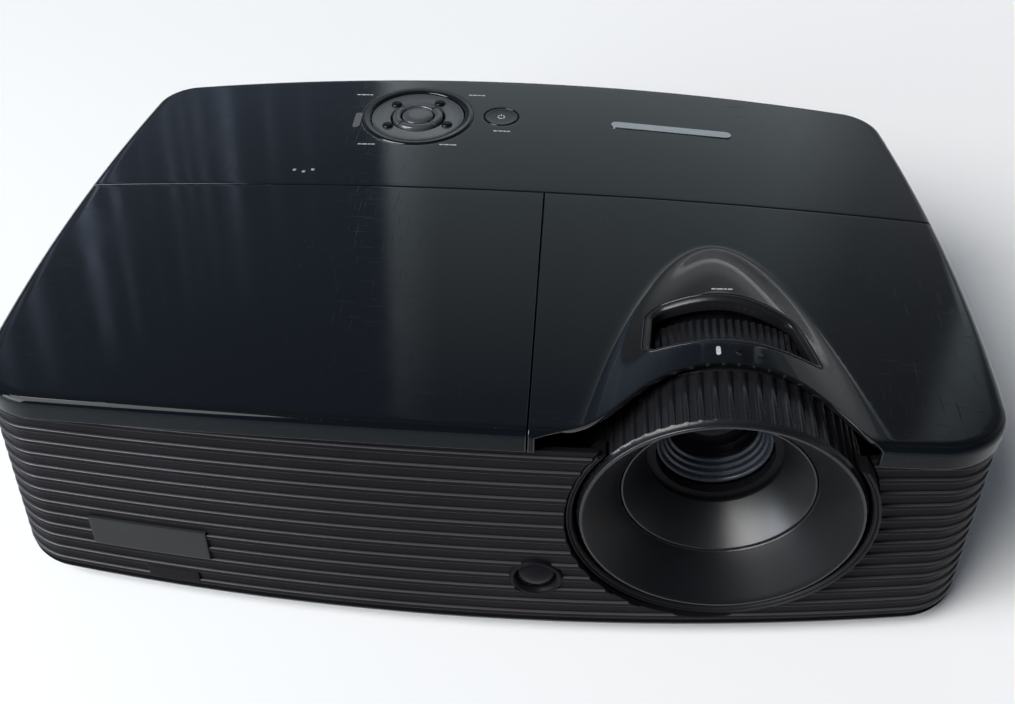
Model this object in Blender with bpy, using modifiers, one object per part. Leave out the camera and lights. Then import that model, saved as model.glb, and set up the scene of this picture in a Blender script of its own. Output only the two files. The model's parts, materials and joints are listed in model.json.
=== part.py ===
"""Portable data projector, as the separate pieces that it comes apart into.

Metres, +Z up. It stands on its three feet at Z = 0, with the lens and the ribbed front
towards -Y and the sockets towards +Y. The helpers below take millimetres.
"""

from math import atan, cos, hypot, pi, radians, sin

import bmesh
import bpy
from mathutils import Euler, Matrix, Vector

MM = 0.001

# Casing, seen from above: a rounded rectangle whose four sides are all a little curved.
# The top covers and the walls under them differ at the front corners.
HALF_WIDTH = 154.3
HALF_DEPTH = 102.9
TOP_CORNER = 21.2
WALL_CORNER = 14.2
BACK_CORNER = 12.5
SIDE_BOW = 0.038
SIDE_TAPER = 0.043
TOP_BOW = 0.088
WALL_BOW = 0.127
BACK_BOW = 0.081
# Casing, seen from the front: a crowned top that rises to the front, over walls that lean out.
BODY_BOTTOM = 4.0
RIM = 80.0
TOP = 88.8
CROWN = 6.2
RISE = 0.064
WALL_INSET = 1.2
FLARE = 2.7
EDGE_ROUND = 3.0
BELLY_ROUND = 6.0

WALL = 2.2
FLOOR = 2.5
GAP = 0.3
SEAM_Y = 20.7
SEAM_X = 14.2
FRONT_SPLIT_Y = -76.0

# Lens: everything turned is centred on an axis along Y.
LENS_X = 73.2
LENS_Z = 58.5
RING_R = 43.4
RING_FRONT = -101.5
RING_LENGTH = 22.0
BEZEL_R = 46.7
LIP_Y = -79.2
COLLAR_BACK = -72.0
COLLAR_R = 42.5
ZOOM_R = 38.4

# Hump of the cover behind the lens ring.
HUMP_BACK = -6.0
HUMP_FRONT = -100.0
HUMP_HALF_WIDTH = 47.0
HUMP_CREST_R = 46.7
HUMP_RAMP = 0.75
HUMP_SHARPNESS = 1.4
HUMP_SINK = 0.5
# Right half of the opening over the focus ring, then the window over the zoom ring: plan
# points, measured across from the lens axis.
LIP = ((15.0, LIP_Y), (20.0, -81.6), (26.0, -85.0), (31.0, -89.0), (36.0, -93.4), (41.0, -97.0),
       (46.0, -99.4), (50.0, -101.6), (52.0, -125.0))
ZOOM_WINDOW = ((-24.4, -67.9), (-22.7, -69.2), (24.4, -69.2), (25.1, -68.0), (19.8, -52.9),
               (16.8, -50.2), (9.0, -49.4), (-2.0, -48.8), (-12.0, -48.4), (-20.0, -48.2),
               (-23.2, -50.0))

# Keys and lights on the top.
PAD_X = -37.1
PAD_Y = 71.4
PAD_R = 21.9
PLATE_R = 18.1
ARROW_OUTER_R = 9.8
ARROW_INNER_R = 6.7
ENTER_R = 6.1
SMALL_KEY_R = 2.1
SMALL_KEY_CIRCLE_R = 13.1
SMALL_KEYS = {"menu_key": 136, "source_key": 55, "resync_key": 214, "help_key": 335}
POWER_X = -4.6
POWER_Y = 72.8
POWER_R = 6.55
KEY_TRAVEL = 0.6
BOARD_DEPTH = 7.5
LIGHT_AT = (-76.2, 29.0)
LIGHT_OFFSETS = ((-3.6, 0.4, 0), (0, -0.7, 0), (3.2, 0.9, 0))
LIGHT_R = 0.8
TOP_IR_AT = (-61.8, 66.0)

# Front details.
IR_X = 18.55
IR_Z = 29.2
IR_R = 8.3
BADGE_X = -107.5
BADGE_Z = 30.6
BADGE_WIDTH = 39.4
BADGE_HEIGHT = 11.4

# Feet: three screw feet.
FOOT_PLACES = {"front_left": (-118.0, -72.0), "front_right": (118.0, -72.0), "rear": (0.0, 90.0)}
FOOT_R = 9.0
FOOT_HEIGHT = 3.6
STEM_R = 3.0
STEM_TOP = 22.0

STEPS = 24
FINE_STEPS = 32

# Local Z of a turned piece: up, towards the front (-Y) or towards +X.
UP = (0, 0, 0)
FRONT = (radians(90), 0, 0)
SIDE = (0, radians(90), 0)

PARTS = "data_projector"
CUTTERS = "cutters"


# ---------------------------------------------------------------- scene and helpers


def clear_scene():
    for item in list(bpy.data.objects):
        bpy.data.objects.remove(item, do_unlink=True)


def collection(name):
    made = bpy.data.collections.new(name)
    bpy.context.scene.collection.children.link(made)
    return made


def finish_of(name, colour, roughness, metallic):
    made = bpy.data.materials.new(name)
    made.use_nodes = True
    shader = made.node_tree.nodes["Principled BSDF"]
    shader.inputs["Base Color"].default_value = (*colour, 1.0)
    shader.inputs["Roughness"].default_value = roughness
    shader.inputs["Metallic"].default_value = metallic
    return made


def shell_up(name, mesh, at=(0, 0, 0), turn=(0, 0, 0), look=None):
    """A named object in millimetre coordinates. Without a look it is a cutter."""
    made = bpy.data.objects.new(name, mesh)
    made.location = Vector(at) * MM
    made.rotation_euler = turn
    if look is None:
        cutters.objects.link(made)
        made.hide_render = True
        made.display_type = "WIRE"
    else:
        parts.objects.link(made)
        mesh.materials.append(finish_of(name, *look))
    return made


def mesh_of(name, form):
    """Turn a bmesh in millimetres into a mesh in metres, faces outwards."""
    bmesh.ops.recalc_face_normals(form, faces=form.faces)
    bmesh.ops.scale(form, vec=(MM, MM, MM), verts=form.verts)
    mesh = bpy.data.meshes.new(name)
    form.to_mesh(mesh)
    form.free()
    return mesh


def box(name, low, high, look=None, edge=0.0):
    """A box between two corners, its origin in its middle, with chamfered edges."""
    size = [b - a for a, b in zip(low, high)]
    middle = [(a + b) / 2 for a, b in zip(low, high)]
    form = bmesh.new()
    bmesh.ops.create_cube(form, size=1.0)
    bmesh.ops.scale(form, vec=size, verts=form.verts)
    made = shell_up(name, mesh_of(name, form), middle, look=look)
    if edge:
        bevel = made.modifiers.new("edges", "BEVEL")
        bevel.width = edge * MM
        bevel.segments = 1
        bevel.limit_method = "ANGLE"
    return made


def rod(name, radius, low, high, at, turn=UP, look=None, steps=STEPS):
    """A cylinder along the turned Z axis, from low to high, through the point at."""
    form = bmesh.new()
    bmesh.ops.create_cone(
        form,
        cap_ends=True,
        segments=steps,
        radius1=radius,
        radius2=radius,
        depth=high - low,
        matrix=Matrix.Translation((0, 0, (low + high) / 2)),
    )
    return shell_up(name, mesh_of(name, form), at, turn, look)


def turned(name, profile, at, turn=UP, look=None, steps=STEPS):
    """A closed (radius, height) profile turned round an axis through the point at."""
    ring = list(profile)
    area = sum(a[0] * b[1] - b[0] * a[1] for a, b in zip(ring, ring[1:] + ring[:1]))
    if area > 0:
        ring.reverse()
    on_axis = [i for i, point in enumerate(ring) if point[0] == 0]
    open_ended = len(on_axis) == 2
    if open_ended:
        start = on_axis[1] if on_axis[1] - on_axis[0] == 1 else on_axis[0]
        ring = ring[start:] + ring[:start]
    mesh = bpy.data.meshes.new(name)
    count = len(ring)
    edges = [(i, (i + 1) % count) for i in range(count - 1 if open_ended else count)]
    mesh.from_pydata([(r * MM, 0, h * MM) for r, h in ring], edges, [])
    made = shell_up(name, mesh, at, turn, look)
    screw = made.modifiers.new("turn", "SCREW")
    screw.axis = "Z"
    screw.steps = steps
    screw.render_steps = steps
    screw.use_merge_vertices = True
    screw.merge_threshold = 0.00001
    return made


def prism(name, plan, low, high, look=None, at=(0, 0, 0), turn=UP):
    """A plan raised from one height to another."""
    form = bmesh.new()
    face = form.faces.new([form.verts.new((x, y, low)) for x, y in plan])
    raised = bmesh.ops.extrude_face_region(form, geom=[face])
    top = [item for item in raised["geom"] if isinstance(item, bmesh.types.BMVert)]
    bmesh.ops.translate(form, vec=(0, 0, high - low), verts=top)
    return shell_up(name, mesh_of(name, form), at, turn, look)


def boolean(target, other, operation):
    step = target.modifiers.new(other.name, "BOOLEAN")
    step.operation = operation
    step.solver = "EXACT"
    step.object = other


def cut(target, *others):
    for other in others:
        boolean(target, other, "DIFFERENCE")


def join(target, *others):
    for other in others:
        boolean(target, other, "UNION")


def keep(target, other):
    boolean(target, other, "INTERSECT")


# ---------------------------------------------------------------- the casing's surface


def outline(inset, front_corner, front_bow, corner_steps=4, side_step=26.0):
    """Plan points of the casing, counter-clockwise, moved inwards by inset."""
    a = HALF_WIDTH - inset
    b = HALF_DEPTH - inset
    corners = (
        (1, -1, front_corner, -90),
        (1, 1, BACK_CORNER, 0),
        (-1, 1, BACK_CORNER, 90),
        (-1, -1, front_corner, 180),
    )
    plain = []
    for side_x, side_y, radius, start in corners:
        r = max(radius - inset, 4.0)
        for i in range(corner_steps + 1):
            angle = radians(start + 90 * i / corner_steps)
            plain.append((side_x * (a - r) + r * cos(angle), side_y * (b - r) + r * sin(angle)))
    points = []
    for (x0, y0), (x1, y1) in zip(plain, plain[1:] + plain[:1]):
        full = hypot(x1 - x0, y1 - y0)
        count = max(1, round(full / side_step)) if full > 2 * side_step else 1
        points += [(x0 + (x1 - x0) * k / count, y0 + (y1 - y0) * k / count) for k in range(count)]
    bow = [front_bow if y < 0 else BACK_BOW for _, y in points]
    return [
        (
            x * (1 - SIDE_BOW * (y / b) ** 2) * (1 - SIDE_TAPER * y / b),
            y * (1 - k * (x / a) ** 2),
        )
        for (x, y), k in zip(points, bow)
    ]


def swell(x, y):
    """How far the crowned, rising top stands above or below its middle."""
    return -CROWN * (x / HALF_WIDTH) ** 2 - RISE * y


def settle(x, y, z):
    """A height under the crown: the swell fades out down the walls to a flat floor."""
    start = BODY_BOTTOM + FLOOR
    share = min(1.0, max(0.0, (z - start) / (RIM - start)))
    return z + swell(x, y) * share


def lean(z):
    """Inset of the wall below the rim, negative where it leans out."""
    down = (RIM - z) / (RIM - BODY_BOTTOM)
    return WALL_INSET - (WALL_INSET + FLARE) * down


def block(name, sections, look=None, shape=(WALL_CORNER, WALL_BOW)):
    """A closed block through (inset, height) sections of the casing's outline."""
    form = bmesh.new()
    loops = []
    for inset, z in sections:
        plan = outline(inset, *shape)
        loops.append([form.verts.new((x, y, settle(x, y, z))) for x, y in plan])
    for low, high in zip(loops, loops[1:]):
        for i in range(len(low)):
            j = (i + 1) % len(low)
            form.faces.new((low[i], low[j], high[j], high[i]))
    for loop, (inset, z) in ((loops[0], sections[0]), (loops[-1], sections[-1])):
        if z <= BODY_BOTTOM + FLOOR:
            form.faces.new(loop)
            continue
        last = loop
        for scale in (0.7, 0.35):
            plan = [(x * scale, y * scale) for x, y in outline(inset, *shape)]
            inner = [form.verts.new((x, y, settle(x, y, z))) for x, y in plan]
            for i in range(len(last)):
                j = (i + 1) % len(last)
                form.faces.new((last[i], last[j], inner[j], inner[i]))
            last = inner
        middle = form.verts.new((0, 0, z))
        for i in range(len(last)):
            form.faces.new((last[i], last[(i + 1) % len(last)], middle))
    bmesh.ops.triangulate(form, faces=form.faces)
    return shell_up(name, mesh_of(name, form), look=look)


def wall_sections(extra, low, high):
    """Sections of the lower walls, moved inwards by extra, without the belly's rounding."""
    middle = (low + high) / 2
    return [(lean(low) + extra, low), (lean(middle) + extra, middle), (lean(high) + extra, high)]


def outer_wall(name, low, high, look=None):
    """The lower casing's outside: a rounded belly, then the leaning wall."""
    sections = []
    if low < BODY_BOTTOM + BELLY_ROUND:
        for angle in (90, 55, 25):
            z = BODY_BOTTOM + BELLY_ROUND * (1 - sin(radians(angle)))
            z = max(z, low)
            if not sections or z > sections[-1][1] + 0.5:
                sections.append((lean(z) + BELLY_ROUND * (1 - cos(radians(angle))) * 0.8, z))
    start = BODY_BOTTOM + BELLY_ROUND
    sections += wall_sections(0.0, max(low, start), high)
    return block(name, sections, look)


def top_block(name, extra, drop, look=None):
    """The top covers' outside, or their inside when moved in by extra and down by drop."""
    rounding = EDGE_ROUND
    sections = [
        (extra, RIM - 3 * drop),
        (extra, TOP - rounding - drop),
        (extra + rounding * 0.3, TOP - rounding * 0.3 - drop),
        (extra + rounding, TOP - drop),
    ]
    return block(name, sections, look, (TOP_CORNER, TOP_BOW))


def hump(x, y):
    """Height of the hump over the crowned top."""
    along = (HUMP_BACK - y) / (HUMP_BACK - HUMP_FRONT)
    if along <= 0:
        return 0.0
    half = HUMP_HALF_WIDTH * min(along, 1.0) ** 0.5
    across = (x - LENS_X) / half
    if abs(across) >= 1:
        return 0.0
    rise = 1 - (1 - min(1.0, along / HUMP_RAMP)) ** 2
    crest = LENS_Z + HUMP_CREST_R - TOP - swell(LENS_X, y)
    return crest * rise * (1 - across * across) ** HUMP_SHARPNESS


def hump_block(name, drop, base):
    """A block under the hump's surface, lowered by drop, down to the height base."""
    columns = 18
    rows = 14
    half = HUMP_HALF_WIDTH + 2
    form = bmesh.new()
    top = []
    bottom = []
    for j in range(rows + 1):
        y = HUMP_FRONT + (HUMP_BACK + 1 - HUMP_FRONT) * j / rows
        row = []
        under = []
        for i in range(columns + 1):
            x = LENS_X + half * (2 * i / columns - 1)
            z = TOP + swell(x, y) + hump(x, y) - drop
            row.append(form.verts.new((x, y, z)))
            under.append(form.verts.new((x, y, base)))
        top.append(row)
        bottom.append(under)
    for grid in (top, bottom):
        for j in range(rows):
            for i in range(columns):
                form.faces.new((grid[j][i], grid[j][i + 1], grid[j + 1][i + 1], grid[j + 1][i]))
    rim = [(0, i) for i in range(columns)] + [(j, columns) for j in range(rows)]
    rim += [(rows, i) for i in range(columns, 0, -1)] + [(j, 0) for j in range(rows, 0, -1)]
    for (j0, i0), (j1, i1) in zip(rim, rim[1:] + rim[:1]):
        form.faces.new((top[j0][i0], top[j1][i1], bottom[j1][i1], bottom[j0][i0]))
    bmesh.ops.triangulate(form, faces=form.faces)
    return shell_up(name, mesh_of(name, form))


# ---------------------------------------------------------------- looks (colour, roughness, metallic)

GLOSS = ((0.012, 0.014, 0.016), 0.12, 0.0)
SATIN = ((0.022, 0.021, 0.021), 0.45, 0.0)
DARK = ((0.015, 0.015, 0.016), 0.55, 0.0)
KEY = ((0.03, 0.032, 0.035), 0.35, 0.0)
BARREL = ((0.16, 0.19, 0.23), 0.35, 0.0)
GLASS = ((0.02, 0.02, 0.03), 0.03, 0.0)
STEEL = ((0.55, 0.56, 0.57), 0.3, 1.0)
ALUMINIUM = ((0.62, 0.63, 0.64), 0.4, 1.0)
BOARD = ((0.03, 0.16, 0.07), 0.5, 0.0)
HEATPROOF = ((0.35, 0.33, 0.30), 0.7, 0.0)
RUBBER = ((0.02, 0.02, 0.02), 0.85, 0.0)
SOCKET_BLUE = ((0.05, 0.09, 0.35), 0.4, 0.0)
LENS_AT = (LENS_X, 0, LENS_Z)


# ---------------------------------------------------------------- casing


def make_base_and_front():
    top = RIM - GAP
    base = outer_wall("base_shell", BODY_BOTTOM, top, SATIN)
    hollow = block("casing_hollow", wall_sections(WALL, BODY_BOTTOM + FLOOR, RIM + 6))
    front_away = box(
        "front_away", (-200, -200, BODY_BOTTOM + FLOOR - 0.4), (200, FRONT_SPLIT_Y + GAP / 2, 200)
    )
    cut(base, hollow, front_away)

    panel = outer_wall("front_panel", BODY_BOTTOM + FLOOR, top, SATIN)
    rear_away = box("rear_away", (-200, FRONT_SPLIT_Y - GAP / 2, -10), (200, 200, 200))
    lens_hole = rod("lens_hole", BEZEL_R + GAP, 70, 130, LENS_AT, FRONT, steps=FINE_STEPS)
    ir_hole = rod("ir_hole", IR_R + GAP, 70, 130, (IR_X, 0, IR_Z), FRONT)
    through = block("panel_hollow", wall_sections(WALL, 1.0, RIM + 6))
    cut(panel, through, rear_away, lens_hole, ir_hole)
    return base, panel


def side_box(name, side, y0, z0, y1, z1):
    """A cutter right through one side wall: side is -1 for the left, 1 for the right."""
    near, far = sorted((side * 120, side * 200))
    return box(name, (near, y0, z0), (far, y1, z1))


def make_side_grilles(base):
    """Louvred grilles let into both side walls, in front of and opposite the fan."""
    for name, side in (("exhaust_grille", -1), ("intake_grille", 1)):
        cut(base, side_box(name + "_window", side, -46, 16, 40, 66))
        grille = block(name, wall_sections(0.4, 10, 72), DARK)
        inside = block(name + "_inside", wall_sections(WALL - 0.2, 8, 74))
        frame = side_box(name + "_frame", side, -46 + GAP, 16 + GAP, 40 - GAP, 66 - GAP)
        cut(grille, inside)
        keep(grille, frame)
        for i in range(5):
            z = 22.0 + 9.2 * i
            cut(grille, side_box(f"{name}_slot_{i}", side, -40, z, 34, z + 3.6))


def make_top_covers():
    inner = top_block("top_inside", WALL, WALL)
    rear = top_block("rear_top_panel", 0, 0, GLOSS)
    before_seam = box("before_seam", (-200, -200, 0), (200, SEAM_Y + GAP / 2, 200))
    cut(rear, inner, before_seam)

    lamp = top_block("lamp_cover", 0, 0, GLOSS)
    past_seam = box("past_seam", (-200, SEAM_Y - GAP / 2, 0), (200, 200, 200))
    right_away = box("right_away", (SEAM_X - GAP / 2, -200, 0), (200, 200, 200))
    cut(lamp, inner, past_seam, right_away)

    lens_side = top_block("lens_side_cover", 0, 0, GLOSS)
    left_away = box("left_away", (-200, -200, 0), (SEAM_X + GAP / 2, 200, 200))
    cut(lens_side, inner)
    join(lens_side, hump_block("hump_outside", HUMP_SINK, TOP - 12))
    cut(lens_side, hump_block("hump_inside", HUMP_SINK + WALL, TOP - 30), past_seam, left_away)
    mouth = LIP + tuple((-x, y) for x, y in reversed(LIP))
    for name, plan in (("mouth", mouth), ("zoom_window", ZOOM_WINDOW)):
        cut(lens_side, prism(name, [(LENS_X + x, y) for x, y in plan], 60, 130))
    room = rod("ring_room", RING_R + 2 * GAP, -LIP_Y, 130, LENS_AT, FRONT, steps=FINE_STEPS)
    cut(lens_side, room)
    return rear, lamp, lens_side


def make_lamp_cover_screw():
    """A captive screw in the left side's rim holds the lamp cover down."""
    x = -HALF_WIDTH + 3.2
    at = (x, -30.0, RIM + 4.2 + swell(x, -30.0))
    hole = rod("lamp_screw_hole", 2.4 + GAP, -20, 20, at, SIDE, steps=20)
    cut(bpy.data.objects["lamp_cover"], hole)
    screw = rod("lamp_cover_screw", 2.4, -4.6, 1.2, at, SIDE, STEEL, steps=20)
    slot = box("lamp_screw_slot", (x - 6, at[1] - 0.4, at[2] - 4), (x - 3.8, at[1] + 0.4, at[2] + 4))
    cut(screw, slot)


# ---------------------------------------------------------------- lens


def make_lens():
    """All turned about the lens axis, so heights below are distances in front of Y = 0."""
    front = -RING_FRONT
    back = front - RING_LENGTH
    focus = [
        (RING_R, front - 0.6),
        (RING_R, back),
        (RING_R - 2.4, back),
        (RING_R - 2.4, front - 13.5),
        (31.6, front - 14.8),
        (30.4, front - 12.6),
        (RING_R - 1.5, front),
        (RING_R - 0.6, front),
    ]
    turned("focus_ring", focus, LENS_AT, FRONT, SATIN, steps=FINE_STEPS)

    bezel = [(BEZEL_R, front + 0.2), (BEZEL_R, front - 7), (44.5, front - 7), (44.5, front - 1.5)]
    bezel += [(45.6, front - 0.3)]
    ring = turned("lens_bezel", bezel, LENS_AT, FRONT, DARK, steps=FINE_STEPS)
    cut(ring, box("bezel_top", (0, -200, RIM + 4), (200, 0, 200)))

    collar = [
        (COLLAR_R, -LIP_Y),
        (COLLAR_R, -COLLAR_BACK),
        (COLLAR_R - 1.6, -COLLAR_BACK),
        (COLLAR_R - 1.6, -LIP_Y - 2),
        (37.5, -LIP_Y - 2),
        (37.5, -LIP_Y),
    ]
    turned("lens_collar", collar, LENS_AT, FRONT, SATIN, steps=FINE_STEPS)

    hood_front = front - 12.0
    hood = [
        (30.0, hood_front),
        (30.0, hood_front - 3),
        (24.5, 74.2),
        (21.6, 74.2),
        (21.6, 75.4),
        (29.0, hood_front),
    ]
    turned("lens_hood", hood, LENS_AT, FRONT, SATIN, steps=FINE_STEPS)

    barrel = [
        (18.5, 69.8),
        (18.5, 60.4),
        (13.0, 60.4),
        (13.0, 61.6),
        (14.4, 61.6),
        (14.4, 63.6),
        (15.6, 64.4),
        (15.6, 66.4),
        (17.0, 67.2),
        (17.0, 69.8),
    ]
    turned("lens_barrel", barrel, LENS_AT, FRONT, BARREL)
    glass = [(0, 65.4), (6.0, 64.9), (11.0, 63.7), (14.1, 62.6), (14.1, 61.8), (0, 61.8)]
    turned("front_lens_element", glass, LENS_AT, FRONT, GLASS)

    tube = [
        (33.6, 73.6),
        (33.6, 40.0),
        (26.0, 40.0),
        (26.0, 60.4),
        (30.0, 62.0),
        (30.0, 70.4),
        (18.9, 70.4),
        (18.9, 73.6),
    ]
    turned("lens_tube", tube, LENS_AT, FRONT, DARK)
    zoom = [(ZOOM_R, 73.2), (ZOOM_R, 52.0), (34.0, 52.0), (34.0, 73.2)]
    turned("zoom_ring", zoom, LENS_AT, FRONT, SATIN, steps=FINE_STEPS)
    group = [(25.6, 56.0), (25.6, 46.0), (0, 46.0), (0, 47.5), (16.0, 48.5), (16.0, 56.0)]
    turned("zoom_lens_group", group, LENS_AT, FRONT, GLASS)


def make_optics():
    mount = box("lens_mount", (37, -39.6, 30), (110, -36, 84), STEEL)
    cut(mount, rod("mount_bore", 22, 30, 45, LENS_AT, FRONT))
    engine = box("optical_engine_housing", (36, -35.6, 30), (112, 24, 79), ALUMINIUM, edge=2)
    cut(engine, box("light_port", (30, -16, 44), (46, 4, 62)))
    sink = box("dmd_heatsink", (55, 24.4, 38), (93, 29.4, 72), ALUMINIUM)
    fins = [box(f"sink_fin_{i}", (57 + 6.6 * i, 29, 38), (59 + 6.6 * i, 44, 72)) for i in range(6)]
    join(sink, *fins)

    wheel_at = (26.0, -6.0, 62.0)
    wheel = [(19.5, 0.5), (19.5, -0.5), (6.0, -0.5), (6.0, -1.8), (0, -1.8), (0, 1.6), (6.0, 1.6)]
    wheel += [(6.0, 0.5)]
    turned("colour_wheel", wheel, wheel_at, SIDE, GLASS)
    rod("colour_wheel_motor", 9, -14, -2.2, wheel_at, SIDE, STEEL)

    lamp_axis = (0, -27.0, 45.0)
    housing = box("lamp_housing", (-78, -60, 14), (2, 6, 76), HEATPROOF)
    cut(housing, box("lamp_room", (-76, -58, 16), (10, 4, 74)))
    bowl = [(25.0, -6.0), (25.0, -9.0), (17.0, -28.0), (9.0, -36.0), (6.0, -50.0), (4.0, -50.0)]
    bowl += [(4.0, -35.0), (8.0, -33.0), (15.2, -27.0), (23.2, -8.4), (23.2, -6.0)]
    turned("lamp_reflector", bowl, lamp_axis, SIDE, ALUMINIUM)


# ---------------------------------------------------------------- keys and lights


def tilt_of(x, y):
    """The turn that lays a piece's Z axis along the top's normal."""
    return (-atan(RISE), atan(2 * CROWN * x / HALF_WIDTH**2), 0)


def on_top(x, y, local=(0, 0, 0)):
    """The point at a local offset from the top's surface at x, y."""
    return Vector((x, y, TOP + swell(x, y))) + Euler(tilt_of(x, y)).to_matrix() @ Vector(local)


def key_profile(radius, crest, post):
    """A round key cap on a thin post that ends above the board."""
    foot = KEY_TRAVEL + 0.8 - BOARD_DEPTH
    return [(0, crest), (radius - 0.8, crest), (radius, crest - 0.6), (radius, -4), (post, -4),
            (post, foot), (0, foot)]


def make_keypad(panel):
    """A round pad: a bezel ring, a plate, four arrow keys round the enter key, four small keys."""
    at = on_top(PAD_X, PAD_Y)
    turn = tilt_of(PAD_X, PAD_Y)
    cut(panel, rod("pad_hole", PAD_R + GAP, -20, 20, at, turn))
    bezel = [(PAD_R, 0.4), (PAD_R, -5), (PLATE_R + GAP, -5), (PLATE_R + GAP, 0), (PAD_R - 1.2, 0.8)]
    turned("keypad_bezel", bezel, at, turn, GLOSS)
    plate = rod("keypad_plate", PLATE_R, -4.5, -0.4, at, turn, SATIN)
    cut(plate, rod("arrow_hole", ARROW_OUTER_R + GAP, -20, 20, at, turn))

    turned("enter_key", key_profile(ENTER_R, 0.8, 2.0), at, turn, KEY)
    for name, angle in (("right_key", 0), ("up_key", 90), ("left_key", 180), ("down_key", 270)):
        sector = []
        for radius, way in ((ARROW_OUTER_R, 1), (ARROW_INNER_R, -1)):
            for i in range(7):
                around = radians(angle + way * (i - 3) / 3 * 41)
                sector.append((radius * cos(around), radius * sin(around)))
        key = prism(name, sector, -4.0, 0.4, KEY, at, turn)
        middle = (ARROW_OUTER_R + ARROW_INNER_R) / 2
        post = (middle * cos(radians(angle)), middle * sin(radians(angle)), 0)
        foot = KEY_TRAVEL + 0.8 - BOARD_DEPTH
        join(key, rod(name + "_post", 1.2, foot, -3.5, on_top(PAD_X, PAD_Y, post), turn, steps=12))
    for name, angle in SMALL_KEYS.items():
        way = Vector((cos(radians(angle)), sin(radians(angle)), 0))
        place = way * SMALL_KEY_CIRCLE_R
        key_at = on_top(PAD_X, PAD_Y, place)
        cut(plate, rod(name + "_hole", SMALL_KEY_R + GAP, -20, 20, key_at, turn, steps=16))
        turned(name, key_profile(SMALL_KEY_R, 0.5, 1.0), key_at, turn, KEY, steps=16)

    power_at = on_top(POWER_X, POWER_Y)
    power_turn = tilt_of(POWER_X, POWER_Y)
    cut(panel, rod("power_hole", POWER_R + GAP, -20, 20, power_at, power_turn))
    turned("power_key", key_profile(POWER_R, 0.6, 2.0), power_at, power_turn, KEY)
    board = box("keypad_board", (-28, -24, -BOARD_DEPTH - 1.6), (44, 18, -BOARD_DEPTH), BOARD)
    board.location = on_top(PAD_X, PAD_Y, tuple(board.location / MM)) * MM
    board.rotation_euler = turn


def make_lights(panel):
    """Status lights behind the seam, and the remote's window beside the pad."""
    x, y = LIGHT_AT
    turn = tilt_of(x, y)
    guide = box("status_light_guide", (-6.5, -2.5, -7.5), (6.5, 2.5, -5.5), GLASS)
    guide.location = on_top(x, y, tuple(guide.location / MM)) * MM
    guide.rotation_euler = turn
    for i, place in enumerate(LIGHT_OFFSETS):
        at = on_top(x, y, place)
        cut(panel, rod(f"light_hole_{i}", LIGHT_R + GAP, -4, 20, at, turn, steps=12))
        join(guide, rod(f"light_post_{i}", LIGHT_R, -6.0, 0.3, at, turn, steps=12))
    x, y = TOP_IR_AT
    turn = tilt_of(x, y)
    window = box("top_ir_window", (-1.1, -5.5, -3.2), (1.1, 5.5, 0.2), GLASS)
    hole = box("top_ir_hole", (-1.1 - GAP, -5.5 - GAP, -20), (1.1 + GAP, 5.5 + GAP, 20))
    for piece in (window, hole):
        piece.location = on_top(x, y, tuple(piece.location / MM)) * MM
        piece.rotation_euler = turn
    cut(panel, hole)


def make_front_details():
    """The remote's front window in its raised bezel, and a plain badge plate on the ribs."""
    face = HALF_DEPTH + FLARE * 0.5
    bezel = [(IR_R, face + 0.6), (IR_R, face - 6), (6.6, face - 6), (6.6, face - 0.6)]
    turned("front_ir_bezel", bezel, (IR_X, 0, IR_Z), FRONT, SATIN)
    dome = [(0, face + 0.4), (4.0, face - 0.1), (6.2, face - 1.4), (6.2, face - 6), (0, face - 6)]
    turned("front_ir_window", dome, (IR_X, 0, IR_Z), FRONT, GLASS)

    # The plate follows the bowed and leaning wall, 0.9 mm proud of it.
    low = BADGE_Z - BADGE_HEIGHT / 2
    high = BADGE_Z + BADGE_HEIGHT / 2
    plate = block("badge_plate", wall_sections(-0.9, low, high), DARK)
    inside = block("badge_inside", wall_sections(-GAP, low - 2, high + 2))
    half = BADGE_WIDTH / 2
    frame = box("badge_frame", (BADGE_X - half, -200, low - 1), (BADGE_X + half, 0, high + 1))
    cut(plate, inside)
    keep(plate, frame)


# ---------------------------------------------------------------- rear and inside


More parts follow.
